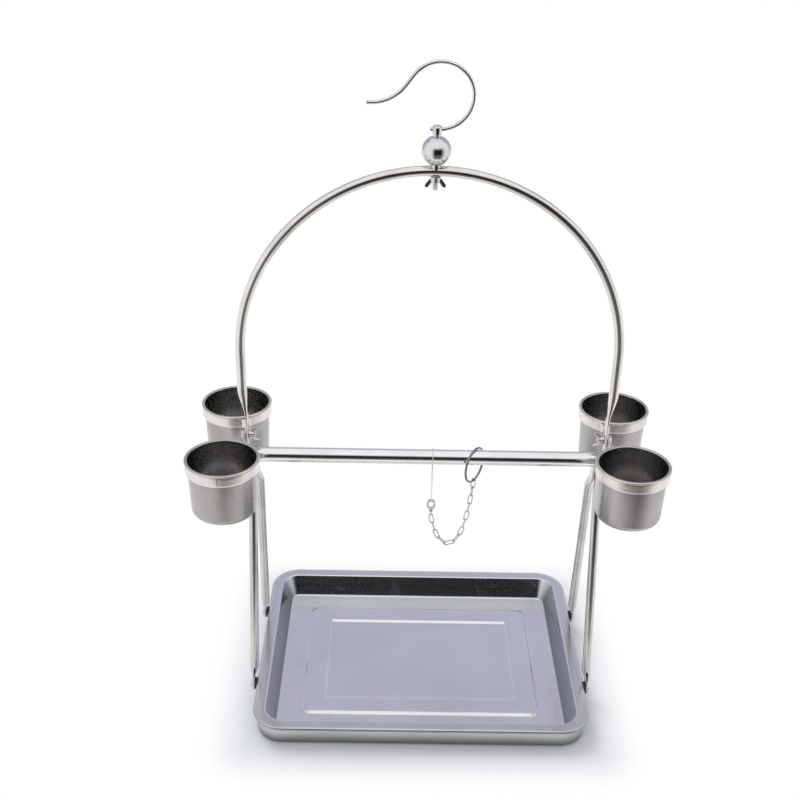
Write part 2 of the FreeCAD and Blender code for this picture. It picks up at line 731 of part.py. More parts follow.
def make_wing_nut(label, bolt, turn, seat, rotation):
    """A wing nut along local Z: a hub, two ears, and the bore."""
    body = new_body(label)
    turned(body, [("0", "0"), ("nut_hub / 2", "0"), ("nut_collar / 2", "nut_rise"), ("0", "nut_rise")])
    ears = new_sketch(body, "XZ_Plane")
    tip_x, tip_z = "(wing_reach - wing_tip)", "(wing_rise - wing_tip)"
    out, up = f"({tip_x} - wing_root)", f"({tip_z} - nut_low)"
    long = f"sqrt({out} ^ 2 + {up} ^ 2)"
    half_x, half_z = f"(wing_tip * {up} / {long})", f"(wing_tip * {out} / {long})"
    for way, turning in (("1", "left"), ("-1", "right")):
        middle = (f"{way} * {tip_x}", tip_z)
        draw(ears, [
            (f"{way} * (wing_root + {half_x})", f"nut_low - {half_z}"),
            (f"{way} * ({tip_x} + {half_x})", f"{tip_z} - {half_z}"),
            (f"{way} * ({tip_x} + {half_z})", f"{tip_z} + {half_x}", *middle, turning),
            (f"{way} * ({tip_x} - {half_x})", f"{tip_z} + {half_z}", *middle, turning),
            (f"{way} * (wing_root - {half_x})", f"nut_low + {half_z}"),
        ])
    feature(body, "Pad", ears, Length="wing_thick", Midplane=True)
    bore = new_sketch(body, "XY_Plane")
    ring(bore, "0", "0", f"{bolt} / 2 + run_gap")
    feature(body, "Pocket", bore, Length="wing_rise + overrun", Reversed=True)
    place(body, seat, rotation.multiply(FreeCAD.Rotation(AXIS_Z, turn)))


def make_band_bolts():
    """Bolts through bands and blades, and their wing nuts on the inner side."""
    bolts = []
    for side, sign in SIDES.items():
        grip = f"{WAIST_OUT} + seat_gap - {BLADE} + seat_gap + nut_rise + band_bolt_spare"
        bolt = make_screw(f"band_bolt_{side}", "band_bolt", "band_bolt_head", "band_bolt_rise", grip)
        place(bolt, (sign * size(f"{WAIST_OUT} + seat_gap"), 0, size(BOLT)), outward(sign))
        bolts.append(bolt)
        seat = (sign * size(f"{BLADE} - seat_gap"), 0, size(BOLT))
        make_wing_nut(f"wing_nut_{side}", "band_bolt", NUT_TURNS[side], seat, outward(-sign))
    group("band_bolts", bolts)


def make_top():
    """Ball, saddle, stud, hook and the wing nut below, all on the bow's top."""
    bore = "(stud_shank / 2 + run_gap)"
    radius = "(ball_size / 2)"
    spot = "(stud_neck / 2 + run_gap)"
    ball = new_body("ball")
    turned(ball, [
        (bore, BALL_SEAT),
        ("saddle_size / 2", BALL_SEAT),
        (radius, BALL, "0", BALL, "left"),
        (spot, f"{BALL} + sqrt({radius} ^ 2 - {spot} ^ 2)", "0", BALL, "left"),
        (spot, STUD_STEP),
        (bore, STUD_STEP),
    ])
    saddle = new_body("ball_saddle")
    sketch = new_sketch(saddle, "XY_Plane", f"{CREST} - arch_tube_size / 2")
    ring(sketch, "0", "0", "saddle_size / 2", bore)
    feature(saddle, "Pad", sketch, Length="saddle_rise + arch_tube_size / 2")
    trough = new_sketch(saddle, "YZ_Plane")
    ring(trough, "0", f"{CREST} - arch_tube_size / 2", "arch_tube_size / 2 + seat_gap")
    feature(saddle, "Pocket", trough, Length="2 * saddle_size", Midplane=True)
    stud = new_body("hook_stud")
    low, crown = f"({CREST} - arch_tube_size - stud_tail)", "(stud_head / 2 - stud_round)"
    turned(stud, [
        ("0", low),
        ("stud_shank / 2", low),
        ("stud_shank / 2", STUD_STEP),
        ("stud_neck / 2", STUD_STEP),
        ("stud_neck / 2", STUD_SHOULDER),
        ("stud_head / 2", STUD_SHOULDER),
        ("stud_head / 2", f"{STUD_TOP} - stud_round"),
        (crown, STUD_TOP, crown, f"{STUD_TOP} - stud_round", "left"),
        ("0", STUD_TOP),
    ])
    eye = new_sketch(stud, "YZ_Plane")
    ring(eye, "0", HOOK_EYE, "hook_wire / 2 + hook_eye_gap")
    feature(stud, "Pocket", eye, Length="2 * stud_head", Midplane=True)
    make_hook()
    under = (0, 0, size(f"{CREST} - arch_tube_size - free_gap"))
    make_wing_nut("top_wing_nut", "stud_shank", NUT_TURNS["top"], under, FreeCAD.Rotation(AXIS_X, 180))


def make_hook():
    """The hook: a stub through the stud, a loop, a short straight and a flick back to the tip."""
    body = new_body("hook")
    profile = new_sketch(body, "YZ_Plane", "-hook_stub")
    ring(profile, "0", HOOK_EYE, "hook_wire / 2")
    path = new_sketch(body, "XZ_Plane")
    start = f"(stud_head * {HOOK_START_SHARE})"
    eye = f"({HOOK_EYE} + hook_radius)"
    out_x, out_z = f"cos({HOOK_SWEEP})", f"sin({HOOK_SWEEP})"
    leave = (f"({start} + hook_radius * {out_x})", f"({eye} + hook_radius * {out_z})")
    turn = (f"({leave[0]} - hook_run * {out_z})", f"({leave[1]} + hook_run * {out_x})")
    middle = (f"({turn[0]} + hook_back_radius * {out_x})", f"({turn[1]} + hook_back_radius * {out_z})")
    low = f"({middle[1]} - hook_back_radius)"
    draw(path, [
        ("-hook_stub", HOOK_EYE),
        (start, HOOK_EYE),
        (f"{start} + hook_radius", eye, start, eye, "left"),
        (start, f"{eye} + hook_radius", start, eye, "left"),
        (*leave, start, eye, "left"),
        turn,
        (middle[0], low, *middle, "right"),
        (f"{middle[0]} - hook_tip", low),
    ], closed=False)
    pipe(body, profile, path)


def make_oval(label, long, wide, wire):
    """A closed wire oval in the local XZ plane, long side along Z, round the origin."""
    body = new_body(label)
    bend = f"(({wide} - {wire}) / 2)"
    rise = f"(({long} - {wide}) / 2)"
    path = new_sketch(body, "XZ_Plane")
    draw(path, [
        (bend, "0"),
        (bend, rise),
        ("0", f"{rise} + {bend}", "0", rise, "left"),
        (f"-{bend}", rise, "0", rise, "left"),
        (f"-{bend}", f"-{rise}"),
        ("0", f"-{rise} - {bend}", "0", f"-{rise}", "left"),
        (bend, f"-{rise}", "0", f"-{rise}", "left"),
    ])
    profile = new_sketch(body, "XY_Plane")
    ring(profile, bend, "0", f"{wire} / 2")
    pipe(body, profile, path)
    return body


def make_torus(label, middle, wire):
    """A closed wire ring round the local Z axis."""
    made = doc.addObject("Part::Torus", label)
    made.Label = label
    made.setExpression("Radius1", tied(middle))
    made.setExpression("Radius2", tied(wire))
    nodes.append(made)
    return made


def drape_steps(lengths):
    """Points of a hanging chain of straight pieces.

    A piece k pulls with slope share * (k - lowest), so level pulls are equal all along the chain.
    """
    share, lowest = DRAPE_SHARES
    directions = []
    for number in range(len(lengths)):
        slope = share * (number - lowest)
        directions.append(FreeCAD.Vector(-1, 0, slope).normalize())
    return directions


def make_leash():
    """Ring on the bar, hanging chain, jump ring, clasp, and the wire loop back over the bar."""
    big = make_torus("leash_ring", "leash_ring_bore / 2 + leash_ring_wire / 2", "leash_ring_wire / 2")
    hang = size("perch_height + perch_tube_size / 2 + free_gap - leash_ring_bore / 2")
    upright = FreeCAD.Rotation(AXIS_Z, AXIS_X)
    turned_away = FreeCAD.Rotation(AXIS_Z, -LEASH_YAW).multiply(upright)
    place(big, (size("leash_place"), 0, hang), turned_away)
    wide = size("link_long - link_wire")
    narrow = wide - 2 * size("link_wire + link_gap")
    first = narrow - size("leash_ring_wire - link_wire") / 2
    lengths = [first] + [wide if number % 2 else narrow for number in range(1, LINK_COUNT)]
    ring_low = hang - size("leash_ring_bore / 2 + leash_ring_wire / 2")
    spot = FreeCAD.Vector(size("leash_place"), 0, ring_low)
    first_back = size("leash_ring_wire / 2 + link_wire / 2 + link_gap")
    later_back = size("link_wire + link_gap")
    for number, pull in enumerate(drape_steps(lengths)):
        link = make_oval(f"chain_link_{number + 1:02d}", "link_long", "link_wide", "link_wire")
        end = spot + pull * lengths[number]
        back = 0 if number % 2 else later_back if number else first_back
        middle = spot + pull * (wide / 2 - back)
        twist = LEASH_YAW * max(0, 1 - number / TWIST_LINKS) + 90 * (number % 2)
        turn = FreeCAD.Rotation(-AXIS_Z, pull).multiply(FreeCAD.Rotation(AXIS_Z, -twist))
        place(link, middle, turn)
        spot = end
    make_leash_end(spot)


def make_leash_end(spot):
    """What joins the chain's left end, at the given point, to the bar."""
    jump = make_torus("leash_jump_ring", "jump_size / 2 - link_wire / 2", "link_wire / 2")
    rise = size("jump_size - link_wire")
    place(jump, spot + AXIS_Z * (rise / 2), FreeCAD.Rotation(AXIS_Z, AXIS_X))
    eye = spot + AXIS_Z * rise
    clasp = new_body("leash_clasp")
    sketch = new_sketch(clasp, "XZ_Plane")
    drop = "(clasp_eye_bore / 2 - link_wire / 2 - 2 * link_gap)"
    half = "(clasp_wide / 2)"
    base = f"({drop} + clasp_eye / 2 + {half} - clasp_rim * {CLASP_SINK_SHARE})"
    crown = f"({drop} - clasp_eye / 2 + clasp_long - {half})"
    inner = f"({half} - clasp_rim)"
    for reach in (half, inner):
        draw(sketch, [
            (reach, crown),
            ("0", f"{crown} + {reach}", "0", crown, "left"),
            (f"-{reach}", crown, "0", crown, "left"),
            (f"-{reach}", base),
            ("0", f"{base} - {reach}", "0", base, "left"),
            (reach, base, "0", base, "left"),
        ])
    feature(clasp, "Pad", sketch, Length="clasp_thick", Midplane=True)
    boss = new_sketch(clasp, "XZ_Plane")
    ring(boss, "0", drop, "clasp_eye / 2", "clasp_eye_bore / 2")
    feature(clasp, "Pad", boss, Length="clasp_thick", Midplane=True)
    place(clasp, eye)
    make_wire_loop(eye.x, eye.z + size(f"{crown} + {inner} - loop_gap - loop_wire / 2"))


def make_wire_loop(across, low):
    """The thin wire loop that hangs over the bar: a wide bend on the bar, a tight one in the clasp."""
    body = new_body("leash_loop")
    wide, tight = "(perch_tube_size / 2 + free_gap + loop_wire / 2)", "loop_low"
    top, bottom = "perch_height", f"({low} + loop_low)"
    sine = size(f"({wide} - {tight}) / ({top} - {bottom})")
    cosine = math.sqrt(1 - sine ** 2)
    path = new_sketch(body, "YZ_Plane")
    draw(path, [
        ("0", f"{top} + {wide}", "0", top, "left"),
        (f"-{wide} * {cosine}", f"{top} - {wide} * {sine}", "0", top, "left"),
        (f"-{tight} * {cosine}", f"{bottom} - {tight} * {sine}"),
        ("0", f"{bottom} - {tight}", "0", bottom, "left"),
        (f"{tight} * {cosine}", f"{bottom} - {tight} * {sine}", "0", bottom, "left"),
        (f"{wide} * {cosine}", f"{top} - {wide} * {sine}"),
    ])
    profile = new_sketch(body, "XZ_Plane")
    ring(profile, "0", f"{top} + {wide}", "loop_wire / 2")
    pipe(body, profile, path)
    place(body, (across, 0, 0))


make_tray()
make_feet()
for side in SIDES:
    for row in ROWS:
        make_leg(side, row)
make_perch()
make_arch()
for side in SIDES:
    make_band(side)
    for row in ROWS:
        make_cup(side, row)
make_band_bolts()
make_top()
make_leash()
doc.recompute()

for item in doc.Objects:
    if "Invalid" in item.State or "Error" in item.State:
        raise RuntimeError(f"{item.Label} did not build: {item.State}")
os.makedirs("parts", exist_ok=True)
for node in nodes:
    shape = node.Shape
    if shape.isNull() or not shape.isValid():
        raise RuntimeError(f"{node.Label} has no valid shape")
    shape.exportStep(f"parts/{node.Label}.step")
    box = shape.BoundBox
    reach = (box.XMin, box.XMax, box.YMin, box.YMax, box.ZMin, box.ZMax)
    corners = " ".join(f"{value:.2f}" for value in reach)
    print(f"{node.Label:20s} {len(shape.Solids)} {shape.Volume:10.1f} {corners}")
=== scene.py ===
"""Looks of a perch stand: pressed sheet, drawn tube, bent strip and wire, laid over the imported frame."""

import logging
import math
from dataclasses import dataclass, field, replace
from enum import Enum
from typing import Optional, Sequence, Union

import bmesh
import bpy
import numpy as np
from mathutils import Matrix, Vector


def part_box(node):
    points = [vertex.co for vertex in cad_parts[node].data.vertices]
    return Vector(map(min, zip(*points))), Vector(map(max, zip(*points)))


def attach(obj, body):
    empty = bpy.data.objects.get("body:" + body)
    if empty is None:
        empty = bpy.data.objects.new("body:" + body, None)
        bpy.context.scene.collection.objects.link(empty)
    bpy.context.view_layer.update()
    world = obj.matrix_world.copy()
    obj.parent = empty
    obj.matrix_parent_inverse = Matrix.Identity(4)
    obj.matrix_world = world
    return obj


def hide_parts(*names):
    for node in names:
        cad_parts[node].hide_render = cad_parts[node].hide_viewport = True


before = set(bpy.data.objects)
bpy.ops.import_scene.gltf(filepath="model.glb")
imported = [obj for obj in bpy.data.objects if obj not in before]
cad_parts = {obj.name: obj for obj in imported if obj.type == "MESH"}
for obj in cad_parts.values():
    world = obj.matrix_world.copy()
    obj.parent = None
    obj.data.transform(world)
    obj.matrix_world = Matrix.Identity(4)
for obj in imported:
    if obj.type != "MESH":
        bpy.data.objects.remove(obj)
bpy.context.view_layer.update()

MM = 0.001
SIDES = {"left": -1, "right": 1}
ROWS = {"front": -1, "back": 1}
AXES = np.eye(3)
WELD = 1e-7
CREASE = math.radians(38)

log = logging.getLogger("perch_stand")

Number = Union[float, "Signal"]
Colour = tuple[float, float, float]


class Signal:
    """A value on its way through a node tree; arithmetic on it adds Math nodes."""

    def __init__(self, sheet: "NodeSheet", socket: bpy.types.NodeSocket) -> None:
        """Keep the socket and the sheet that it belongs to."""
        self.sheet = sheet
        self.socket = socket

    def math(self, operation: str, first: Number, second: Number = 0.0) -> "Signal":
        """Add one Math node.

        Args:
            operation: the Math node's operation.
            first: its first value.
            second: its second value, where it has one.

        Returns:
            The node's result.
        """
        node = self.sheet.add("ShaderNodeMath", {"operation": operation}, {0: first, 1: second})
        return Signal(self.sheet, node.outputs[0])

    def __add__(self, other: Number) -> "Signal":
        """self + other"""
        return self.math("ADD", self, other)

    def __radd__(self, other: Number) -> "Signal":
        """other + self"""
        return self.math("ADD", other, self)

    def __sub__(self, other: Number) -> "Signal":
        """self - other"""
        return self.math("SUBTRACT", self, other)

    def __rsub__(self, other: Number) -> "Signal":
        """other - self"""
        return self.math("SUBTRACT", other, self)

    def __mul__(self, other: Number) -> "Signal":
        """self * other"""
        return self.math("MULTIPLY", self, other)

    def __rmul__(self, other: Number) -> "Signal":
        """other * self"""
        return self.math("MULTIPLY", other, self)

    def __pow__(self, other: Number) -> "Signal":
        """self to the power of other"""
        return self.math("POWER", self, other)

    def largest(self, other: Number) -> "Signal":
        """The larger of the two values."""
        return self.math("MAXIMUM", self, other)

    def between(self, low: float, high: float) -> "Signal":
        """A soft step from 0 at low to 1 at high.

        Args:
            low: where the step starts.
            high: where it ends.

        Returns:
            The step's value.
        """
        node = self.sheet.add("ShaderNodeMapRange", {"interpolation_type": "SMOOTHSTEP"},
                              {"Value": self, "From Min": low, "From Max": high})
        return Signal(self.sheet, node.outputs[0])


class NodeSheet:
    """The node tree of a material or of the world."""

    def __init__(self, tree: bpy.types.NodeTree) -> None:
        """Empty the tree and keep it."""
        self.tree = tree
        tree.nodes.clear()

    def add(self, kind: str, settings: Optional[dict] = None,
            sockets: Optional[dict] = None) -> bpy.types.Node:
        """Add any node.

        Args:
            kind: the node's type.
            settings: its own settings, set first.
            sockets: values or links of its input sockets, by name or number.

        Returns:
            The node.
        """
        node = self.tree.nodes.new(kind)
        for key, value in (settings or {}).items():
            setattr(node, key, value)
        for key, value in (sockets or {}).items():
            if isinstance(value, Signal):
                value = value.socket
            if isinstance(value, bpy.types.NodeSocket):
                self.tree.links.new(value, node.inputs[key])
            elif isinstance(value, tuple) and len(value) == 3 and node.inputs[key].type == "RGBA":
                node.inputs[key].default_value = (*value, 1.0)
            else:
                node.inputs[key].default_value = value
        return node

    def signal(self, kind: str, settings: Optional[dict] = None, sockets: Optional[dict] = None,
               output: Union[int, str] = 0) -> Signal:
        """Add a node and take one of its outputs as a value."""
        return Signal(self, self.add(kind, settings, sockets).outputs[output])

    def noise(self, place: bpy.types.NodeSocket, scale: float, detail: float = 3.0, rough: float = 0.55,
              bend: float = 0.0) -> Signal:
        """A noise pattern.

        Args:
            place: the coordinates to read.
            scale: cells per unit of them.
            detail: octaves.
            rough: share that each finer octave keeps.
            bend: how far the pattern is pulled about.

        Returns:
            The pattern, about 0.5 on average.
        """
        sockets = {"Vector": place, "Scale": scale, "Detail": detail, "Roughness": rough, "Distortion": bend}
        return self.signal("ShaderNodeTexNoise", None, sockets)

    def stretched(self, place: bpy.types.NodeSocket, scale: Colour, turn: Colour = (0.0, 0.0, 0.0)
                  ) -> bpy.types.NodeSocket:
        """Coordinates turned and stretched by a Mapping node."""
        sockets = {"Vector": place, "Scale": scale, "Rotation": turn}
        return self.add("ShaderNodeMapping", None, sockets).outputs[0]

    def blend(self, share: Number, first: Union[Colour, bpy.types.NodeSocket],
              second: Union[Colour, bpy.types.NodeSocket], mode: str = "MIX") -> bpy.types.NodeSocket:
        """Mix two colours.

        Args:
            share: how much of the second.
            first: colour at share 0.
            second: colour at share 1.
            mode: the Mix node's blend type.

        Returns:
            The mixed colour's socket.
        """
        settings = {"data_type": "RGBA", "blend_type": mode}
        return self.add("ShaderNodeMix", settings, {0: share, 6: first, 7: second}).outputs[2]

    def seen_directly(self) -> Signal:
        """Tell what is looked at from what gives light.

        Returns:
            1 for camera, glossy and transmission rays, and 0 for the rays that light the scene.
        """
        path = self.add("ShaderNodeLightPath")
        seen = Signal(self, path.outputs["Is Camera Ray"])
        for name in ("Is Glossy Ray", "Is Transmission Ray"):
            seen = seen.largest(Signal(self, path.outputs[name]))
        return seen


def new_material(name: str) -> tuple[bpy.types.Material, NodeSheet]:
    """Make an empty material.

    Args:
        name: its name.

    Returns:
        The material and its node sheet.
    """
    made = bpy.data.materials.new(name)
    made.use_nodes = True
    return made, NodeSheet(made.node_tree)


class Grain(Enum):
    """Which coordinates a finish's polishing marks follow."""

    OBJECT = "Object"
    SURFACE = "UV"


@dataclass(frozen=True)
class Steel:
    """A steel finish: its tone, how it was polished, and what handling left on it."""

    name: str
    tone: Colour
    shade: Colour
    roughness: float
    grain: Grain
    marks: Colour
    mark_swing: float
    mark_depth: float
    cloud: float
    smudge: float
    scratch: float = 0.12
    streak: float = 0.5
    takes_painted_light: bool = False

    def material(self) -> bpy.types.Material:
        """Make the finish.

        Tone drifts to shade in soft clouds and dips along the polishing marks. Roughness rises on the
        marks, in handled smudges and on sparse scratches. The marks also feed a very shallow bump. On a
        piece that takes painted light, the tone is multiplied by the piece's own attribute of painted shade
        and painted highlights.

        Returns:
            The new material.
        """
        made, sheet = new_material(self.name)
        places = sheet.add("ShaderNodeTexCoord").outputs
        solid = places["Object"]
        along = sheet.stretched(places[self.grain.value], self.marks)
        marks = sheet.noise(along, 1.0, 4.0, 0.65)
        clouds = sheet.noise(solid, self.cloud, 4.0, 0.6, 0.6)
        smears = sheet.noise(solid, self.cloud * 3.1, 5.0, 0.62, 1.4).between(0.54, 0.72)
        sparse = tuple(0.5 * part for part in self.marks)
        slanted = sheet.stretched(places[self.grain.value], sparse, (0.0, 0.0, 0.31))
        hair = sheet.noise(slanted, 1.0, 2.0, 0.5).between(0.69, 0.73)
        base = sheet.blend(clouds.between(0.35, 0.7), self.tone, self.shade)
        base = sheet.blend((marks - 0.38) * self.streak, base, tuple(0.72 * part for part in self.shade))
        # Painted light: tray and cup pieces carry painted shade and painted highlights, which are multiplied
        # into the tone here.
        if self.takes_painted_light:
            painted_light = sheet.add("ShaderNodeAttribute", {"attribute_name": "painted_light"}).outputs["Color"]
            base = sheet.blend(1.0, base, painted_light, "MULTIPLY")
        rough = self.roughness + (marks - 0.5) * self.mark_swing + smears * self.smudge + hair * self.scratch
        rough = rough.math("MINIMUM", rough.largest(0.03), 0.9)
        bump = sheet.add("ShaderNodeBump", None,
                         {"Strength": 0.6, "Distance": self.mark_depth, "Height": marks + hair * -0.6})
        shader = sheet.add("ShaderNodeBsdfPrincipled", None, {
            "Base Color": base, "Metallic": 1.0, "Roughness": rough, "Normal": bump.outputs[0]})
        sheet.add("ShaderNodeOutputMaterial", None, {"Surface": shader.outputs[0]})
        return made


@dataclass(frozen=True)
class Plastic:
    """Moulded plastic with a fine spark texture."""

    name: str
    tone: Colour
    roughness: float
    spark: float
    depth: float

    def material(self) -> bpy.types.Material:
        """Make the finish: speckled tone, uneven gloss and a pebbled surface.

        Returns:
            The new material.
        """
        made, sheet = new_material(self.name)
        solid = sheet.add("ShaderNodeTexCoord").outputs["Object"]
        pebbles = sheet.noise(solid, self.spark, 3.0, 0.6)
        clouds = sheet.noise(solid, self.spark * 0.1, 3.0, 0.5)
        base = sheet.blend(clouds, self.tone, tuple(1.9 * part for part in self.tone))
        rough = self.roughness + (pebbles - 0.5) * 0.2
        bump = sheet.add("ShaderNodeBump", None,
                         {"Strength": 0.5, "Distance": self.depth, "Height": pebbles})
        shader = sheet.add("ShaderNodeBsdfPrincipled", None, {
            "Base Color": base, "Roughness": rough, "Normal": bump.outputs[0]})
        sheet.add("ShaderNodeOutputMaterial", None, {"Surface": shader.outputs[0]})
        return made


# Marks, their swing and depth, clouds and smudges of drawn and polished tube
DRAWN = ((26.0, 1500.0, 1.0), 0.10, 0.00001, 22.0, 0.07)


class Finish(Enum):
    """The finishes of the stand, each with the record's slot that it stands for."""

    # TRAY and CUP take painted light from their pieces: painted shade on the tray, painted highlights and
    # painted light on the cups.
    TRAY = ("tray_steel", Steel(
        "pressed_tray_steel", (0.86, 0.85, 0.865), (0.79, 0.785, 0.80), 0.20, Grain.OBJECT,
        (14.0, 900.0, 300.0), 0.05, 0.000008, 9.0, 0.05, 0.04, 0.10, True))
    # BAR, BOW and LEG are lit and shaded copies of one tube steel: the bar is lightest, the bow a little
    # darker and warmer, the legs darkest. The differences are painted light and painted shade.
    BAR = ("tube_steel", Steel(
        "tube_steel_bar_painted_light", (0.90, 0.888, 0.892), (0.81, 0.80, 0.80), 0.14, Grain.SURFACE, *DRAWN))
    BOW = ("tube_steel", Steel(
        "tube_steel_bow_painted_shade", (0.83, 0.80, 0.775), (0.72, 0.69, 0.665), 0.15, Grain.SURFACE, *DRAWN))
    LEG = ("tube_steel", Steel(
        "tube_steel_leg_painted_shade", (0.66, 0.64, 0.62), (0.54, 0.525, 0.505), 0.17, Grain.SURFACE, *DRAWN))
    BAND = ("band_steel", Steel(
        "bright_strip_steel", (0.84, 0.795, 0.785), (0.75, 0.71, 0.70), 0.26, Grain.SURFACE,
        (30.0, 1800.0, 1.0), 0.10, 0.00001, 30.0, 0.06))
    CUP = ("cup_steel", Steel(
        "spun_cup_steel", (0.46, 0.444, 0.44), (0.375, 0.358, 0.348), 0.22, Grain.SURFACE,
        (1600.0, 18.0, 1.0), 0.14, 0.00001, 26.0, 0.10, takes_painted_light=True))
    BRIGHT = ("bright_steel", Steel(
        "plated_steel", (0.74, 0.725, 0.73), (0.62, 0.605, 0.61), 0.10, Grain.OBJECT,
        (300.0, 300.0, 900.0), 0.08, 0.00001, 60.0, 0.05))
    WIRE = ("bright_steel", Steel(
        "drawn_wire_steel", (0.82, 0.81, 0.815), (0.68, 0.67, 0.67), 0.18, Grain.SURFACE,
        (40.0, 2500.0, 1.0), 0.12, 0.00001, 40.0, 0.08))
    DARK = ("dark_steel", Steel(
        "dark_ring_steel", (0.30, 0.29, 0.285), (0.20, 0.195, 0.19), 0.26, Grain.SURFACE,
        (40.0, 1500.0, 1.0), 0.14, 0.00001, 70.0, 0.10))
    CHAIN = ("chain_steel", Steel(
        "chain_steel", (0.52, 0.505, 0.49), (0.34, 0.33, 0.32), 0.22, Grain.SURFACE,
        (60.0, 2500.0, 1.0), 0.14, 0.00001, 90.0, 0.10))
    PLASTIC = ("black_plastic", Plastic("black_bush_plastic", (0.012, 0.012, 0.013), 0.45, 1800.0, 0.00004))

    @property
    def slot(self) -> str:
        """The record's slot."""
        return self.value[0]

    def material(self) -> bpy.types.Material:
        """The finish's material, made at its first use."""
        recipe = self.value[1]
        return bpy.data.materials.get(recipe.name) or recipe.material()


@dataclass(frozen=True)
class Patch:
    """A surface as a grid of points; its columns may close into rings, and so may its rows.

    Painted light, meaning painted shade and painted highlights multiplied into the tone, is an array that
    fits (rows, columns, 3).
    """

    points: np.ndarray
    closed_columns: bool = True
    closed_rows: bool = False
    painted_light: Optional[np.ndarray] = None

    def spread_painted_light(self) -> np.ndarray:
        """Spread the painted light over the points.

        Returns:
            Array (points, 4), white where there is no painted light.
        """
        made = np.ones((*self.points.shape[:2], 4))
        if self.painted_light is not None:
            made[..., :3] = self.painted_light
        return made.reshape(-1, 4)

    def unrolled(self) -> np.ndarray:
        """Texture places in metres: mean length along the rows, and length along the longest row.

        Returns:
            Array (rows, columns, 2), one longer where the surface closes.
        """
        grid = self.points
        if self.closed_columns:
            grid = np.concatenate([grid, grid[:, :1]], axis=1)
        if self.closed_rows:
            grid = np.concatenate([grid, grid[:1]], axis=0)
        down = np.linalg.norm(np.diff(grid, axis=0), axis=2).mean(1)
        across = np.linalg.norm(np.diff(grid, axis=1), axis=2)
        across = across[across.sum(1).argmax()]
        lengths = [np.concatenate([[0.0], np.cumsum(steps)]) for steps in (down, across)]
        return np.stack(np.meshgrid(*lengths, indexing="ij"), axis=2)

    def faces(self) -> tuple[np.ndarray, np.ndarray]:
        """Vertex numbers and texture places of every quad's corners.

        Returns:
            Arrays (quads, 4) and (quads, 4, 2).
        """
        rows, columns = self.points.shape[:2]
        row = np.arange(rows if self.closed_rows else rows - 1)[:, None]
        column = np.arange(columns if self.closed_columns else columns - 1)[None, :]
        steps = ((0, 0), (0, 1), (1, 1), (1, 0))
        corners = [((row + down) % rows) * columns + (column + across) % columns for down, across in steps]
        unrolled = self.unrolled()
        places = [unrolled[row + down, column + across] for down, across in steps]
        return np.stack(corners, 2).reshape(-1, 4), np.stack(places, 2).reshape(-1, 4, 2)


def mesh_of(name: str, patches: Sequence[Patch]) -> bpy.types.Mesh:
    """Put patches into one mesh, weld their poles and turn their faces outwards.

    Args:
        name: the mesh's name.
        patches: closed surfaces.

    Returns:
        The mesh, smooth but for its creases.
    """
    starts = np.cumsum([0] + [patch.points[..., 0].size for patch in patches])
    parts = [patch.faces() for patch in patches]
    points = np.concatenate([patch.points.reshape(-1, 3) for patch in patches])
    corners = np.concatenate([quads + start for (quads, places), start in zip(parts, starts)])
    places = np.concatenate([places for quads, places in parts])
    mesh = bpy.data.meshes.new(name)
    mesh.vertices.add(len(points))
    mesh.vertices.foreach_set("co", points.astype(np.float32).ravel())
    mesh.loops.add(corners.size)
    mesh.loops.foreach_set("vertex_index", corners.ravel())
    mesh.polygons.add(len(corners))
    mesh.polygons.foreach_set("loop_start", np.arange(0, corners.size, 4))
    mesh.update(calc_edges=True)
    layer = mesh.uv_layers.new(name="UVMap")
    layer.data.foreach_set("uv", places.astype(np.float32).ravel())
    # Per-vertex painted light: painted shade and painted highlights that the finish multiplies into its
    # tone.
    if any(patch.painted_light is not None for patch in patches):
        spread_painted_light = np.concatenate([patch.spread_painted_light() for patch in patches])
        layer = mesh.attributes.new("painted_light", "FLOAT_COLOR", "POINT")
        layer.data.foreach_set("color", spread_painted_light.astype(np.float32).ravel())
    work = bmesh.new()
    work.from_mesh(mesh)
    bmesh.ops.remove_doubles(work, verts=work.verts, dist=WELD)
    bmesh.ops.recalc_face_normals(work, faces=work.faces)
    work.to_mesh(mesh)
    work.free()
    mesh.polygons.foreach_set("use_smooth", np.ones(len(mesh.polygons), bool))
    mesh.set_sharp_from_angle(angle=CREASE)
    mesh.update()
    return mesh


def dress(name: str, patches: Sequence[Patch], finish: Finish, body: str, nodes: Sequence[str]) -> None:
    """Make a piece, let it ride on its body and stand for its nodes.

    Args:
        name: the piece's name.
        patches: its surfaces.
        finish: what it is made of.
        body: the body that it moves with.
        nodes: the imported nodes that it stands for.
    """
    mesh = mesh_of(name, patches)
    mesh.materials.append(finish.material())
    piece = bpy.data.objects.new(name, mesh)
    bpy.context.scene.collection.objects.link(piece)
    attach(piece, body)
    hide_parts(*nodes)
    log.info("%s: %d faces on %s for %s", name, len(mesh.polygons), body, ", ".join(nodes))


def keep_node(name: str, finish: Finish) -> None:
    """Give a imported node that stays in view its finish.

    Args:
        name: the node.
        finish: what it is made of.
    """
    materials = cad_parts[name].data.materials
    materials.clear()
    materials.append(finish.material())
    log.info("%s: kept, %s", name, finish.name.lower())


def box_of(node: str) -> tuple[np.ndarray, np.ndarray]:
    """Lowest and highest corner of a node, as arrays."""
    low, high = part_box(node)
    return np.array(low), np.array(high)


def vertices_of(node: str) -> np.ndarray:
    """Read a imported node's vertices.

    Args:
        node: the node.

    Returns:
        Array (vertices, 3).
    """
    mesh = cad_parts[node].data
    flat = np.empty(len(mesh.vertices) * 3, np.float32)
    mesh.vertices.foreach_get("co", flat)
    return flat.reshape(-1, 3).astype(float)


def soft_step(value: np.ndarray, low: float, high: float) -> np.ndarray:
    """3t^2 - 2t^3 of the share t of the way from low to high."""
    share = np.clip((value - low) / (high - low), 0.0, 1.0)
    return share * share * (3.0 - 2.0 * share)


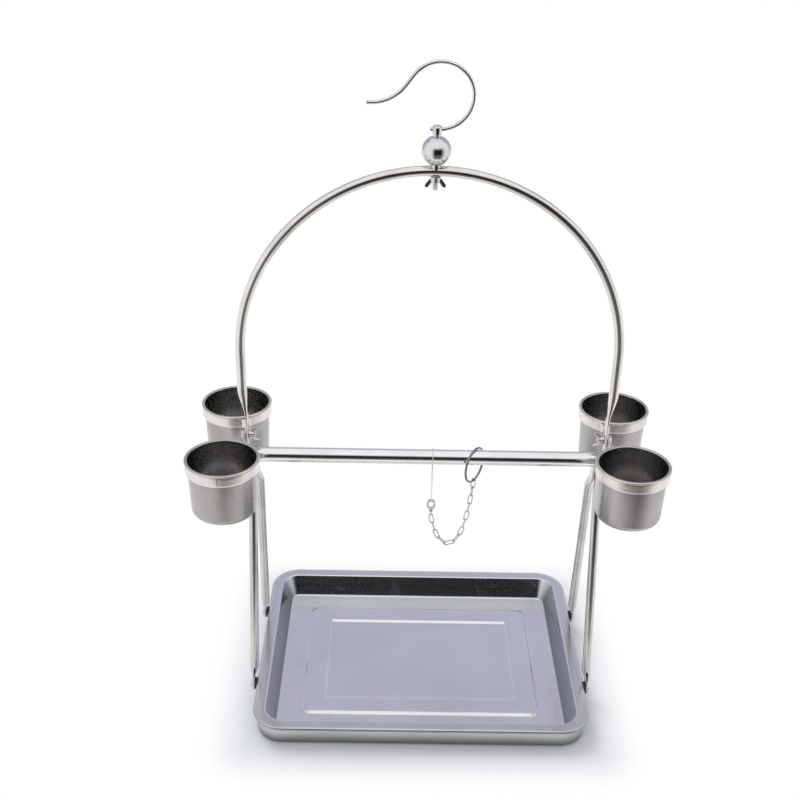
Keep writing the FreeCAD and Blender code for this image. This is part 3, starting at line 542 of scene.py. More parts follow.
def arc(centre: Sequence[float], radius: float, start: float, end: float, count: int) -> np.ndarray:
    """Points centre + radius * (cos a, sin a) for a from start to end.

    Args:
        centre: the arc's centre.
        radius: its radius.
        start: first angle in degrees.
        end: last angle in degrees.
        count: how many points.

    Returns:
        Array (count, 2).
    """
    angles = np.radians(np.linspace(start, end, count))
    return np.asarray(centre) + radius * np.stack([np.cos(angles), np.sin(angles)], axis=1)


def line(start: Sequence[float], end: Sequence[float], count: int) -> np.ndarray:
    """Evenly spaced points from start to end."""
    return np.linspace(np.asarray(start, float), np.asarray(end, float), count)


def chained(*runs: np.ndarray) -> np.ndarray:
    """Runs of points one after another, without the points that repeat where they meet.

    Args:
        runs: arrays (points, parts).

    Returns:
        One array (points, parts).
    """
    points = np.concatenate(runs)
    steps = np.linalg.norm(np.diff(points, axis=0), axis=1)
    return points[np.concatenate([[True], steps > WELD])]


def stations_of(*runs: np.ndarray) -> np.ndarray:
    """Runs of single numbers one after another, without repeats where they meet."""
    return chained(*(run[:, None] for run in runs))[:, 0]


def full_turn(count: int) -> np.ndarray:
    """Angles of a full circle from zero."""
    return np.arange(count) * (2.0 * math.pi / count)


def angles_round(count: int) -> np.ndarray:
    """Angles of a full circle, half a step off zero."""
    return full_turn(count) + math.pi / count


def circle(count: int, radius: Union[float, np.ndarray]) -> np.ndarray:
    """Round sections, radius * (cos a, sin a) at each station.

    Args:
        count: points round each section.
        radius: one radius, or one per station.

    Returns:
        Array (stations, count, 2).
    """
    turn = angles_round(count)
    unit = np.stack([np.cos(turn), np.sin(turn)], axis=1)
    return np.atleast_1d(radius)[:, None, None] * unit


def squeezed(count: int, thick: np.ndarray, wide: np.ndarray, spread: float = 0.35) -> np.ndarray:
    """Sections of a tube pressed flat: a circle whose two halves are drawn apart.

    With half thickness p and half width q, a point is (p cos a, p sin a + (q - p) k), where k runs from -1
    to 1 while sin a runs from -spread to spread.

    Args:
        count: points round the tube.
        thick: half thickness at each station.
        wide: half width at each station.
        spread: how much of the circle is drawn out into the flat.

    Returns:
        Array (stations, count, 2).
    """
    turn = angles_round(count)
    sine, cosine = np.sin(turn), np.cos(turn)
    flat = np.clip(sine / spread, -1.0, 1.0)
    along = thick[:, None] * sine + (wide - thick)[:, None] * flat
    return np.stack([thick[:, None] * cosine, along], axis=2)


def carried(path: np.ndarray, first: np.ndarray, second: np.ndarray, sections: np.ndarray) -> np.ndarray:
    """A profile carried along a path: path + u * first + v * second.

    Args:
        path: points (stations, 3).
        first: unit vectors for u, one per station or one for all.
        second: unit vectors for v, likewise.
        sections: (u, v) of each section, (stations or 1, points, 2).

    Returns:
        Grid (stations, points, 3).
    """
    first = np.broadcast_to(first, path.shape)
    second = np.broadcast_to(second, path.shape)
    return path[:, None] + sections[..., :1] * first[:, None] + sections[..., 1:] * second[:, None]


def tangents(path: np.ndarray, closed: bool = False) -> np.ndarray:
    """Unit directions along a path, from the points before and after each one.

    Args:
        path: points (stations, 3).
        closed: whether the path is a ring.

    Returns:
        Array (stations, 3).
    """
    if closed:
        steps = np.roll(path, -1, axis=0) - np.roll(path, 1, axis=0)
    else:
        steps = np.gradient(path, axis=0)
    return steps / np.linalg.norm(steps, axis=1, keepdims=True)


def capped(grid: np.ndarray) -> np.ndarray:
    """The grid with each end row drawn together to a point, which closes the surface."""
    ends = [np.broadcast_to(grid[row].mean(0), grid[row].shape)[None] for row in (0, -1)]
    return np.concatenate([ends[0], grid, ends[1]])


def wire_along(path: np.ndarray, normal: np.ndarray, radius: float, count: int,
               closed: bool = False) -> Patch:
    """Round wire along a flat path, with domed ends where it is open.

    Args:
        path: points (stations, 3) in one plane.
        normal: that plane's unit normal.
        radius: the wire's radius.
        count: points round the wire.
        closed: whether the path is a ring.

    Returns:
        The wire's surface.
    """
    if closed:
        side = np.cross(tangents(path, True), normal)
        return Patch(carried(path, side, normal, circle(count, radius)), closed_rows=True)
    dome = np.radians(np.linspace(15.0, 90.0, 6))
    way, back = tangents(path), radius * (1.0 - np.cos(dome))[:, None]
    inner = path[1:-1]
    path = np.concatenate([path[0] + back * way[0], inner, (path[-1] - back * way[-1])[::-1]])
    sizes = radius * np.concatenate([np.sin(dome), np.ones(len(inner)), np.sin(dome)[::-1]])
    side = np.cross(tangents(path), normal)
    return Patch(capped(carried(path, side, normal, circle(count, sizes))))


@dataclass(frozen=True)
class Spindle:
    """A straight axis in space that shapes are turned about."""

    origin: np.ndarray
    along: np.ndarray

    def across(self) -> tuple[np.ndarray, np.ndarray]:
        """Find the directions across the axis.

        Returns:
            Two unit vectors square to the axis and to each other.
        """
        helper = AXES[2] if abs(self.along[2]) < 0.9 else AXES[0]
        first = np.cross(helper, self.along)
        first = first / np.linalg.norm(first)
        return first, np.cross(self.along, first)

    def point(self, radius: np.ndarray, height: np.ndarray, turn: np.ndarray) -> np.ndarray:
        """origin + height * along + radius * (cos turn * first + sin turn * second).

        Args:
            radius: distances from the axis.
            height: distances along it.
            turn: angles about it; the three arrays fit (rows, columns).

        Returns:
            Grid (rows, columns, 3).
        """
        first, second = self.across()
        flat = radius[..., None] * (np.cos(turn)[..., None] * first + np.sin(turn)[..., None] * second)
        return self.origin + height[..., None] * self.along + flat

    def turned(self, profile: np.ndarray, count: int) -> Patch:
        """A profile of (radius, height) points turned about the axis.

        Args:
            profile: array (points, 2); it starts and ends on the axis, or closes on itself.
            count: columns round the axis.

        Returns:
            The surface.
        """
        closed = bool(np.linalg.norm(profile[0] - profile[-1]) < WELD)
        grid = self.point(profile[:, :1], profile[:, 1:], full_turn(count))
        return Patch(grid[:-1] if closed else grid, closed_rows=closed)

    def thread(self, radius: float, start: float, end: float, pitch: float, depth: float,
               count: int = 28) -> Patch:
        """A threaded rod: radius - depth * |2 frac(height / pitch - turn) - 1|, closed at both ends.

        Args:
            radius: outer radius.
            start: height of the lower end.
            end: height of the upper end.
            pitch: height of one turn.
            depth: depth of the groove.
            count: columns round the axis.

        Returns:
            The surface.
        """
        turn = full_turn(count)
        heights = np.linspace(start, end, int((end - start) / pitch * 8) + 2)[:, None]
        phase = np.mod(heights / pitch - turn / (2.0 * math.pi), 1.0)
        fade = soft_step(np.minimum(heights - start, end - heights), 0.0, pitch)
        reach = radius - depth * np.abs(2.0 * phase - 1.0) * (0.4 + 0.6 * fade)
        return Patch(capped(self.point(reach, heights, turn)))

    def cross_head(self, radius: float, rise: float, slot: float, depth: float, count: int = 64) -> Patch:
        """A round screw head with a cross recess.

        The dome is a ball's cap from the edge height up to rise; the recess lowers it where either of two
        bars crosses, with soft flanks.

        Args:
            radius: the head's radius.
            rise: its height.
            slot: half width of the recess bars.
            depth: depth of the recess.
            count: columns round the head.

        Returns:
            The closed surface, from the axis on top to the axis below.
        """
        edge = rise / 3.0
        dome = rise - edge
        ball = (radius ** 2 + dome ** 2) / (2.0 * dome)
        reach = np.concatenate([np.linspace(0.0, 0.7, 22), np.linspace(0.74, 1.0, 10)]) * radius
        heights = edge + np.sqrt(ball ** 2 - reach ** 2) - (ball - dome)
        turn = full_turn(count)
        first, second = (np.abs(reach[:, None] * wave(turn)[None, :]) for wave in (np.cos, np.sin))
        bars = [1.0 - soft_step(one, slot * 0.6, slot) for one in (first, second)]
        long = [1.0 - soft_step(one, radius * 0.5, radius * 0.62) for one in (second, first)]
        sunk = np.maximum(bars[0] * long[0], bars[1] * long[1]) * depth
        side = line((radius, edge), (radius, 0.0), 3)[1:]
        base = line((radius, 0.0), (0.0, 0.0), 4)[1:]
        profile = np.concatenate([side, base])
        top = self.point(reach[:, None], heights[:, None] - sunk, turn)
        rest = self.point(profile[:, :1], profile[:, 1:], turn)
        return Patch(np.concatenate([top, rest]))


def framed_rings(half_long: np.ndarray, half_wide: np.ndarray, corner: np.ndarray, bend: int,
                 run: int) -> np.ndarray:
    """Rounded rectangles, one per row, with matching points.

    Each corner is an arc about its own centre, and the straight sides run from arc to arc.

    Args:
        half_long: half lengths along X.
        half_wide: half lengths along Y.
        corner: corner radii.
        bend: points in each corner.
        run: points along each side between corners.

    Returns:
        Array (rows, points, 2).
    """
    quarter = np.radians(np.linspace(0.0, 90.0, bend))
    arcs = []
    for number, (sign_x, sign_y) in enumerate(((1, 1), (-1, 1), (-1, -1), (1, -1))):
        turn = quarter + number * math.pi / 2.0
        centre = np.stack([sign_x * (half_long - corner), sign_y * (half_wide - corner)], axis=1)
        arcs.append(centre[:, None] + corner[:, None, None] * np.stack([np.cos(turn), np.sin(turn)], axis=1))
    share = np.linspace(0.0, 1.0, run + 2)[1:-1, None]
    pieces = []
    for number, points in enumerate(arcs):
        start, end = points[:, -1:], arcs[(number + 1) % 4][:, :1]
        pieces += [points, start + (end - start) * share]
    return np.concatenate(pieces, axis=1)


@dataclass
class Tray:
    """The pressed pan: skirt, rolled lip, flat rim, drawn wall, and a floor with a raised frame."""

    corner: float = 27.5 * MM
    rim: float = 10.9 * MM
    rim_round: float = 1.5 * MM
    lip: float = 1.5 * MM
    sheet: float = 0.9 * MM
    wall_run: float = 8.6 * MM
    fillet: float = 2.5 * MM
    recess: float = 3.3 * MM
    foot_round: float = 3.8 * MM
    turn_in: float = 2.0 * MM
    frame_long: float = 107.5 * MM
    frame_wide: float = 75.7 * MM
    frame_band: float = 20.0 * MM
    frame_rise: float = 1.2 * MM
    frame_soft: float = 1.8 * MM
    frame_corner: float = 6.0 * MM
    crown: float = 0.35 * MM
    # Painted shade multiplied into the pan's tone: on the drawn wall between these bounds, more on the end
    # walls easing round the corners, a little darker and less blue on the flat rim, round the rolled lip,
    # and darker down the skirt.
    wall_start: tuple[float, float] = (-0.2 * MM, 0.8 * MM)
    wall_end: tuple[float, float] = (2.0 * MM, 0.6 * MM)
    corner_ease: float = 9.0 * MM
    wall_painted_shade: Colour = (0.60, 0.635, 0.68)
    end_wall_painted_shade: float = 0.5
    rim_painted_shade: Colour = (0.90, 0.91, 0.88)
    lip_painted_shade: Colour = (0.42, 0.43, 0.44)
    skirt_painted_shade: tuple[Colour, Colour] = ((0.80, 0.83, 0.79), (0.22, 0.227, 0.205))

    def wall_bend(self) -> tuple[float, float]:
        """Work out the wall's slope from its run and the pan's height.

        Returns:
            Its lean from upright in degrees, and how far a bend of radius 1 reaches along a level face.
        """
        rise = box_of("tray")[1][2] - self.sheet
        slope = math.hypot(self.wall_run, rise)
        return math.degrees(math.asin(self.wall_run / slope)), rise / (slope + self.wall_run)

    def floor_edge(self) -> float:
        """How far the flat floor's edge lies inside the pan's outline."""
        return self.rim + self.wall_run + self.fillet * self.wall_bend()[1]

    def floor_rows(self, half: np.ndarray) -> tuple[np.ndarray, np.ndarray]:
        """Rings of the floor from its middle line out to the wall.

        Ring sizes run in straight shares between the middle line, the frame's inner and outer edge and the
        floor's edge. Heights rise in soft steps on both sides of the frame, over a very flat crown.

        Args:
            half: half length and half width of the pan.

        Returns:
            (half length, half width, corner) per row, and the heights of the pressed upper face.
        """
        edge = self.floor_edge()
        inner_corner = self.frame_corner / 2.0
        keys = np.array([
            (half[0] - half[1], 0.0, 0.0),
            (self.frame_long - self.frame_band, self.frame_wide - self.frame_band, inner_corner),
            (self.frame_long, self.frame_wide, self.frame_corner),
            (half[0] - edge, half[1] - edge, self.corner - edge),
        ])
        reach = keys[:, 1]
        soft = self.frame_soft
        width = np.unique(np.concatenate([
            np.linspace(reach[0], reach[1] - soft, 9),
            np.linspace(reach[1] - soft, reach[1] + soft, 9),
            np.linspace(reach[1] + soft, reach[2] - soft, 5),
            np.linspace(reach[2] - soft, reach[2] + soft, 9),
            np.linspace(reach[2] + soft, reach[3], 6),
        ]))
        rings = np.stack([np.interp(width, reach, keys[:, part]) for part in range(3)], axis=1)
        up, down = (soft_step(width, place - soft, place + soft) for place in reach[1:3])
        bulge = self.crown * (1.0 - (width / reach[3]) ** 2)
        return rings, self.sheet + self.frame_rise * (up - down) + bulge

    def wall_rows(self) -> tuple[np.ndarray, np.ndarray]:
        """The section outside the floor as (inset from the outer edge, height), in lines and arcs.

        Returns:
            The upper face out to the turned-in foot, and the hidden face back.
        """
        height, thin = box_of("tray")[1][2], self.sheet
        lean, bend = self.wall_bend()
        lip_z = height - self.lip
        skirt, foot = self.recess, self.recess + self.foot_round
        low = (self.floor_edge(), thin + self.fillet)
        high = (self.rim - self.rim_round * bend, height - self.rim_round)
        out = chained(
            arc(low, self.fillet, 270, 180 + lean, 12)[1:],
            arc(high, self.rim_round, lean, 90, 8),
            line((high[0], height), (self.lip, height), 5),
            arc((self.lip, lip_z), self.lip, 90, 270, 16),
            line((self.lip, lip_z - self.lip), (skirt, lip_z - self.lip), 3),
            line((skirt, lip_z - self.lip), (skirt, self.foot_round), 6),
            arc((foot, self.foot_round), self.foot_round, 180, 270, 10),
            line((foot, 0.0), (foot + self.turn_in, 0.0), 3),
        )
        back = chained(
            line((foot + self.turn_in, thin), (foot, thin), 3),
            arc((foot, self.foot_round), self.foot_round - thin, 270, 180, 8),
            line((skirt + thin, self.foot_round), (skirt + thin, lip_z - self.lip + thin), 4),
            line((skirt + thin, lip_z - self.lip + thin), (self.lip, lip_z - self.lip + thin), 3),
            arc((self.lip, lip_z), self.lip - thin, 270, 90, 8),
            line((self.lip, height - thin), (high[0], height - thin), 3),
            arc(high, self.rim_round - thin, 90, lean, 5),
            arc(low, self.fillet + thin, 180 + lean, 270, 8),
        )
        return out, back

    def wall_share(self, rows: np.ndarray) -> np.ndarray:
        """Tell the drawn wall from the rim and the floor.

        Args:
            rows: (inset, height) of the section.

        Returns:
            1 on the wall, easing to 0 towards rim and floor, for each row.
        """
        edge, inset = self.floor_edge(), rows[:, 0]
        share = soft_step(inset, self.rim + self.wall_start[0], self.rim + self.wall_start[1])
        return share * (1.0 - soft_step(inset, edge - self.wall_end[0], edge - self.wall_end[1]))

    def wall_painted_light(self, rows: np.ndarray) -> np.ndarray:
        """Painted shade on the pan's section: on the drawn wall, a little on the flat rim, round the lip,
        and darker down the skirt.

        Args:
            rows: (inset, height) of the upper face outside the floor.

        Returns:
            Array (rows, 3).
        """
        inset, height = rows.T
        under, wall = height.max() - 2.0 * self.lip, self.wall_share(rows)
        lip = 1.0 - soft_step(inset, 0.2 * self.lip, 0.9 * self.lip)
        rim = soft_step(inset, 0.9 * self.lip, 1.5 * self.lip)
        rim = rim * (1.0 - soft_step(inset, 0.8 * self.rim, self.rim))
        painted_light = np.ones((len(rows), 3))
        for share, colour in ((wall, self.wall_painted_shade), (lip, self.lip_painted_shade), (rim, self.rim_painted_shade)):
            painted_light = painted_light * (1.0 + share[:, None] * (np.array(colour) - 1.0))
        skirt = (height < under + WELD) & (inset < self.rim)
        down = soft_step(-height, -0.85 * under, 0.0)[:, None]
        top, bottom = np.array(self.skirt_painted_shade)
        return np.where(skirt[:, None], top + (bottom - top) * down, painted_light)

    def build(self) -> None:
        """Make the pan from rings: floor, wall, rim, skirt, and back under the sheet to the middle."""
        low, high = box_of("tray")
        half = (high - low)[:2] / 2.0
        rings, heights = self.floor_rows(half)
        out, back = self.wall_rows()
        walls = np.concatenate([out, back])
        wall_rings = np.stack([half[0] - walls[:, 0], half[1] - walls[:, 0],
                               self.corner - np.minimum(walls[:, 0], self.floor_edge())], axis=1)
        under = slice(-2, None, -1)
        sizes = np.concatenate([rings, wall_rings, rings[under]])
        tall = np.concatenate([heights, walls[:, 1], heights[under] - self.sheet])
        flat = framed_rings(sizes[:, 0], sizes[:, 1], sizes[:, 2], 14, 20)
        grid = np.concatenate([flat, np.broadcast_to(tall[:, None, None], (*flat.shape[:2], 1))], axis=2)
        # Painted shade on the shown section, with more on the end walls that eases in round the corners.
        painted_light = np.ones_like(grid)
        shown = slice(len(rings), len(rings) + len(out))
        past = np.abs(flat[shown, :, 0]) - np.abs(flat[shown, :, 1]) - half[0] + half[1]
        ends = soft_step(past, -self.corner_ease, self.corner_ease)
        painted_end_shade = 1.0 - self.end_wall_painted_shade * ends * self.wall_share(out)[:, None]
        painted_light[shown] = self.wall_painted_light(out)[:, None] * painted_end_shade[..., None]
        dress("tray_pan", [Patch(grid, painted_light=painted_light)], Finish.TRAY, "stand", ["tray"])
        keep_node("tray_nuts", Finish.BRIGHT)
        keep_node("tray_bushes", Finish.PLASTIC)


@dataclass
class Frame:
    """Legs, perch bar and bow: tubes, pressed flat where screws go through them."""

    leg_tube: float = 3.9 * MM
    bow_tube: float = 4.15 * MM
    tab_thick: float = 1.1 * MM
    tab_wide: float = 5.75 * MM
    foot_x: float = 153.2 * MM
    foot_set: float = 0.7 * MM
    leg_set: float = 1.3 * MM
    top_x: dict = field(default_factory=lambda: {"back": 148.5 * MM, "front": 150.7 * MM})
    foot_tab: float = 7.0 * MM
    foot_taper: float = 11.0 * MM
    top_tab: float = 22.0 * MM
    top_taper: float = 10.0 * MM
    blade_x: float = 155.5 * MM
    blade_length: float = 39.6 * MM
    blade_taper: float = 25.0 * MM
    bar_wall: float = 1.0 * MM
    bar_edge: float = 0.4 * MM
    round_points: int = 48

    def tab_width(self, beyond: np.ndarray) -> np.ndarray:
        """Half width of a round tab end: the circle sqrt(w^2 - d^2) at distance d beyond the hole."""
        reach = np.clip(beyond, 0.0, self.tab_wide)
        return np.maximum(np.sqrt(self.tab_wide ** 2 - reach ** 2), self.tab_thick)

    def end_stations(self, start: float, count: int) -> np.ndarray:
        """Stations of a round end, closer together towards its tip."""
        tip = math.sqrt(self.tab_wide ** 2 - self.tab_thick ** 2)
        return start - tip * np.cos(np.linspace(0.0, math.pi / 2.0, count))

    def pressed(self, tube: float, roundness: np.ndarray, beyond: np.ndarray) -> np.ndarray:
        """Sections of a tube that is pressed flat towards its ends.

        Args:
            tube: the round tube's radius.
            roundness: 0 where it is flat and 1 where it is round.
            beyond: distance past the hole in the tab.

        Returns:
            Array (stations, points, 2).
        """
        thick = self.tab_thick + (tube - self.tab_thick) * roundness
        wide = self.tab_width(beyond) + (tube - self.tab_wide) * roundness
        return squeezed(self.round_points, thick, wide)

    def leg(self, side: str, row: str) -> None:
        """One leg: a tube pressed flat at foot and top, from the foot screw to the bar screw.

        Args:
            side: left or right.
            row: front or back.
        """
        node = f"leg_{row}_{side}"
        low, high = box_of(node)
        foot_z, top_z = low[2] + self.tab_wide, high[2] - self.tab_wide
        depth = (low[1] + self.tab_wide) if row == "front" else (high[1] - self.tab_wide)
        start = np.array([0.0, depth, foot_z])
        rise = np.array([0.0, -depth, top_z - foot_z])
        length = float(np.linalg.norm(rise))
        way = rise / length
        ankle, tab = self.foot_tab + self.foot_taper, length - self.top_tab
        neck = tab - self.top_taper
        ends = self.end_stations(0.0, 9)
        stations = stations_of(
            ends, np.linspace(0.0, self.foot_tab, 5), np.linspace(self.foot_tab, ankle, 12),
            np.linspace(ankle, neck, 14), np.linspace(neck, tab, 12), np.linspace(tab, length, 7),
            length - ends[::-1])
        foot_share = soft_step(stations, self.foot_tab, ankle)
        top_share = soft_step(stations, neck, tab)
        beyond = np.maximum(-stations, stations - length)
        sections = self.pressed(self.leg_tube, foot_share * (1.0 - top_share), beyond)
        top_x = self.top_x[row]
        top_tube = top_x + (self.leg_set if row == "front" else -self.leg_set)
        foot_tube = self.foot_x - self.foot_set
        along = np.clip((stations - ankle) / (neck - ankle), 0.0, 1.0)
        centre = foot_tube + (top_tube - foot_tube) * along
        centre = centre + (self.foot_x - foot_tube) * (1.0 - foot_share) + (top_x - top_tube) * top_share
        path = start + stations[:, None] * way + SIDES[side] * centre[:, None] * AXES[0]
        grid = carried(path, AXES[0], np.cross(way, AXES[0]), sections)
        dress(f"{node}_tube", [Patch(capped(grid))], Finish.LEG, "stand", [node])

    def bow(self) -> None:
        """The bow: blade, taper, upright, half circle, and down again.

        X of the centre line eases from the blade to the tube over the taper.
        """
        low, high = box_of("arch_tube")
        radius = high[0] - self.bow_tube
        spring = high[2] - self.bow_tube - radius
        hole = low[2] + self.tab_wide
        taper = hole + self.blade_length
        start = taper + self.blade_taper
        heights = stations_of(self.end_stations(hole, 9), np.linspace(hole, taper, 8),
                              np.linspace(taper, start, 18), np.linspace(start, spring, 6))
        share = soft_step(heights, taper, start)
        across = self.blade_x + (radius - self.blade_x) * share
        right = np.stack([across, heights], axis=1)
        top = arc((0.0, spring), radius, 0.0, 180.0, 121)[1:-1]
        flat = np.concatenate([right, top, right[::-1] * (-1.0, 1.0)])
        path = np.stack([flat[:, 0], np.zeros(len(flat)), flat[:, 1]], axis=1)
        roundness = np.concatenate([share, np.ones(len(top)), share[::-1]])
        beyond = np.concatenate([hole - heights, np.zeros(len(top)), (hole - heights)[::-1]])
        side = np.cross(tangents(path), AXES[1])
        grid = carried(path, side, AXES[1], self.pressed(self.bow_tube, roundness, beyond))
        dress("bow_tube", [Patch(capped(grid))], Finish.BOW, "stand", ["arch_tube"])

    def bar(self) -> None:
        """The perch bar: an open tube with broken edges, turned about X."""
        low, high = box_of("perch_tube")
        outer = (high[2] - low[2]) / 2.0
        inner = outer - self.bar_wall
        half, edge = high[0], self.bar_edge
        profile = chained(
            line((outer, -half + edge), (outer, half - edge), 40),
            arc((outer - edge, half - edge), edge, 0, 90, 4),
            line((outer - edge, half), (inner, half), 2),
            line((inner, half), (inner, -half), 2),
            line((inner, -half), (outer - edge, -half), 2),
            arc((outer - edge, -half + edge), edge, 270, 360, 4),
        )
        spindle = Spindle(np.array([0.0, 0.0, (low[2] + high[2]) / 2.0]), AXES[0])
        dress("perch_bar", [spindle.turned(profile, 72)], Finish.BAR, "stand", ["perch_tube"])
        for side in SIDES:
            keep_node(f"perch_plug_{side}", Finish.PLASTIC)
        keep_node("perch_spacers", Finish.BRIGHT)

    def build(self) -> None:
        """Make legs, bow and bar."""
        for side in SIDES:
            for row in ROWS:
                self.leg(side, row)
        self.bow()
        self.bar()


@dataclass
class Screws:
    """Round-headed screws with cross recesses, and the threads that show behind wing nuts."""

    foot_head: float = 3.8 * MM
    foot_rise: float = 2.4 * MM
    bolt_head: float = 4.0 * MM
    bolt_rise: float = 2.6 * MM
    shank: float = 2.0 * MM
    slot: float = 0.55 * MM
    depth: float = 1.1 * MM
    pitch: float = 0.7 * MM
    groove: float = 0.32 * MM
    head_gap: float = 0.05 * MM

    def screw(self, spot: np.ndarray, way: np.ndarray, head: float, rise: float, tail: float) -> list[Patch]:
        """One screw: a head above the spot, and a threaded shank the other way.

        Args:
            spot: where the head sits.
            way: unit vector from the seat to the head's top.
            head: the head's radius.
            rise: its height.
            tail: how far the shank reaches.

        Returns:
            Head and shank.
        """
        spindle = Spindle(spot, way)
        return [spindle.cross_head(head, rise, self.slot, self.depth),
                spindle.thread(self.shank, -tail, -self.head_gap, self.pitch, self.groove)]

    def build(self) -> None:
        """Make the foot screws, the bar screws and the band bolts, each as long as its node."""
        groups = (("foot_screws", "tray_screws", self.foot_head, self.foot_rise, tuple(ROWS.values())),
                  ("bar_screws", "perch_screws", self.bolt_head, self.bolt_rise, (0,)),
                  ("band_screws", "band_bolts", self.bolt_head, self.bolt_rise, (0,)))
        for name, node, head, rise, rows in groups:
            high = box_of(node)[1]
            seat = high[0] - rise
            tail = seat - float(np.abs(vertices_of(node)[:, 0]).min())
            patches = []
            for side in SIDES.values():
                for row in rows:
                    spot = np.array([side * seat, row * (high[1] - head), high[2] - head])
                    patches += self.screw(spot, side * AXES[0], head, rise, tail)
            dress(name, patches, Finish.BRIGHT, "stand", [node])


@dataclass
class WingNut:
    """A wing nut: a coned hub with a bore, and two thin wings that lean out from it."""

    hub: float = 4.2 * MM
    collar: float = 3.6 * MM
    bore: float = 2.05 * MM
    rise: float = 4.6 * MM
    low: float = 1.2 * MM
    root: float = 2.3 * MM
    reach: float = 8.4 * MM
    wing_rise: float = 8.8 * MM
    tip: float = 1.7 * MM
    swell: float = 2.0 * MM
    thin: float = 0.75 * MM
    edge: float = 0.35 * MM
    cone_share: float = 0.15
    root_share: float = 0.18
    tip_share: float = 0.08
    slim_share: float = 0.2
    squareness: float = 0.55

    def hub_patch(self, spindle: Spindle) -> Patch:
        """The hub: base face, coned side with broken edges, top face and bore, turned about the axis.

        Args:
            spindle: the nut's axis.

        Returns:
            The hub's closed surface.
        """
        cut = self.edge
        profile = np.array([
            (self.bore, 0.0), (self.hub - cut, 0.0), (self.hub, cut),
            (self.collar + self.cone_share * cut, self.rise - cut),
            (self.collar - cut, self.rise), (self.bore, self.rise), (self.bore, 0.0)])
        return spindle.turned(profile, 40)

    def wing_patch(self, spindle: Spindle, turn: float, sign: int) -> Patch:
        """One wing: a slanted bar with a round end, in oval sections.

        Its middle line runs from the root to the tip circle's centre. At distance s along it the half width
        is the tip's radius, narrowed near the root; past the circle's centre it is the circle's own chord.

        Args:
            spindle: the nut's axis.
            turn: the wings' angle about it.
            sign: which of the two wings.

        Returns:
            The wing's closed surface.
        """
        start = np.array([self.root, self.low])
        lean = np.array([self.reach - self.tip, self.wing_rise - self.tip]) - start
        length = float(np.hypot(*lean))
        lean = lean / length
        dome = np.sin(np.linspace(0.0, math.pi / 2.0, 9))[1:]
        out = np.concatenate([np.linspace(0.0, length, 12), length + self.tip * dome])
        past = np.maximum(out - length, 0.0)
        chord = np.sqrt(np.maximum(self.tip ** 2 - past ** 2, (self.tip_share * self.tip) ** 2))
        grown = self.root_share + (1.0 - self.root_share) * out / self.swell
        wide = chord * np.minimum(1.0, grown)
        centre = start + out[:, None] * lean
        angle = angles_round(28)
        waves = np.cos(angle), np.sin(angle)
        across, along = (np.sign(wave) * np.abs(wave) ** self.squareness for wave in waves)
        first, second = spindle.across()
        radial = sign * (math.cos(turn) * first + math.sin(turn) * second)
        flank = np.cross(spindle.along, radial)
        path = spindle.origin + centre[:, :1] * radial + centre[:, 1:] * spindle.along
        edgewise = lean[1] * radial - lean[0] * spindle.along
        slim = self.thin * (1.0 - self.slim_share * np.minimum(out / length, 1.0))
        sections = np.stack([slim[:, None] * across, wide[:, None] * along], axis=2)
        return Patch(capped(carried(path, flank, edgewise, sections)))

    def wing_angle(self, node: str, spindle: Spindle) -> float:
        """Find how a packed nut's wings are turned, from its farthest vertices.

        Args:
            node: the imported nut.
            spindle: its axis.

        Returns:
            The wings' angle about the axis.
        """
        first, second = spindle.across()
        away = vertices_of(node) - spindle.origin
        flat = np.stack([away @ first, away @ second], axis=1)
        far = flat[np.linalg.norm(flat, axis=1) > self.reach - 0.5 * self.tip]
        far = far * np.sign(far @ far[0])[:, None]
        middle = far.mean(0)
        return math.atan2(middle[1], middle[0])

    def build(self, node: str, body: str, origin: np.ndarray, along: np.ndarray) -> None:
        """Make one nut.

        Args:
            node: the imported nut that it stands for.
            body: the body that it rides on.
            origin: the middle of its base face.
            along: unit vector from the base to the wings.
        """
        spindle = Spindle(origin, along)
        turn = self.wing_angle(node, spindle)
        patches = [self.hub_patch(spindle)] + [self.wing_patch(spindle, turn, sign) for sign in (1, -1)]
        dress(f"{node}_cast", patches, Finish.BRIGHT, body, [node])


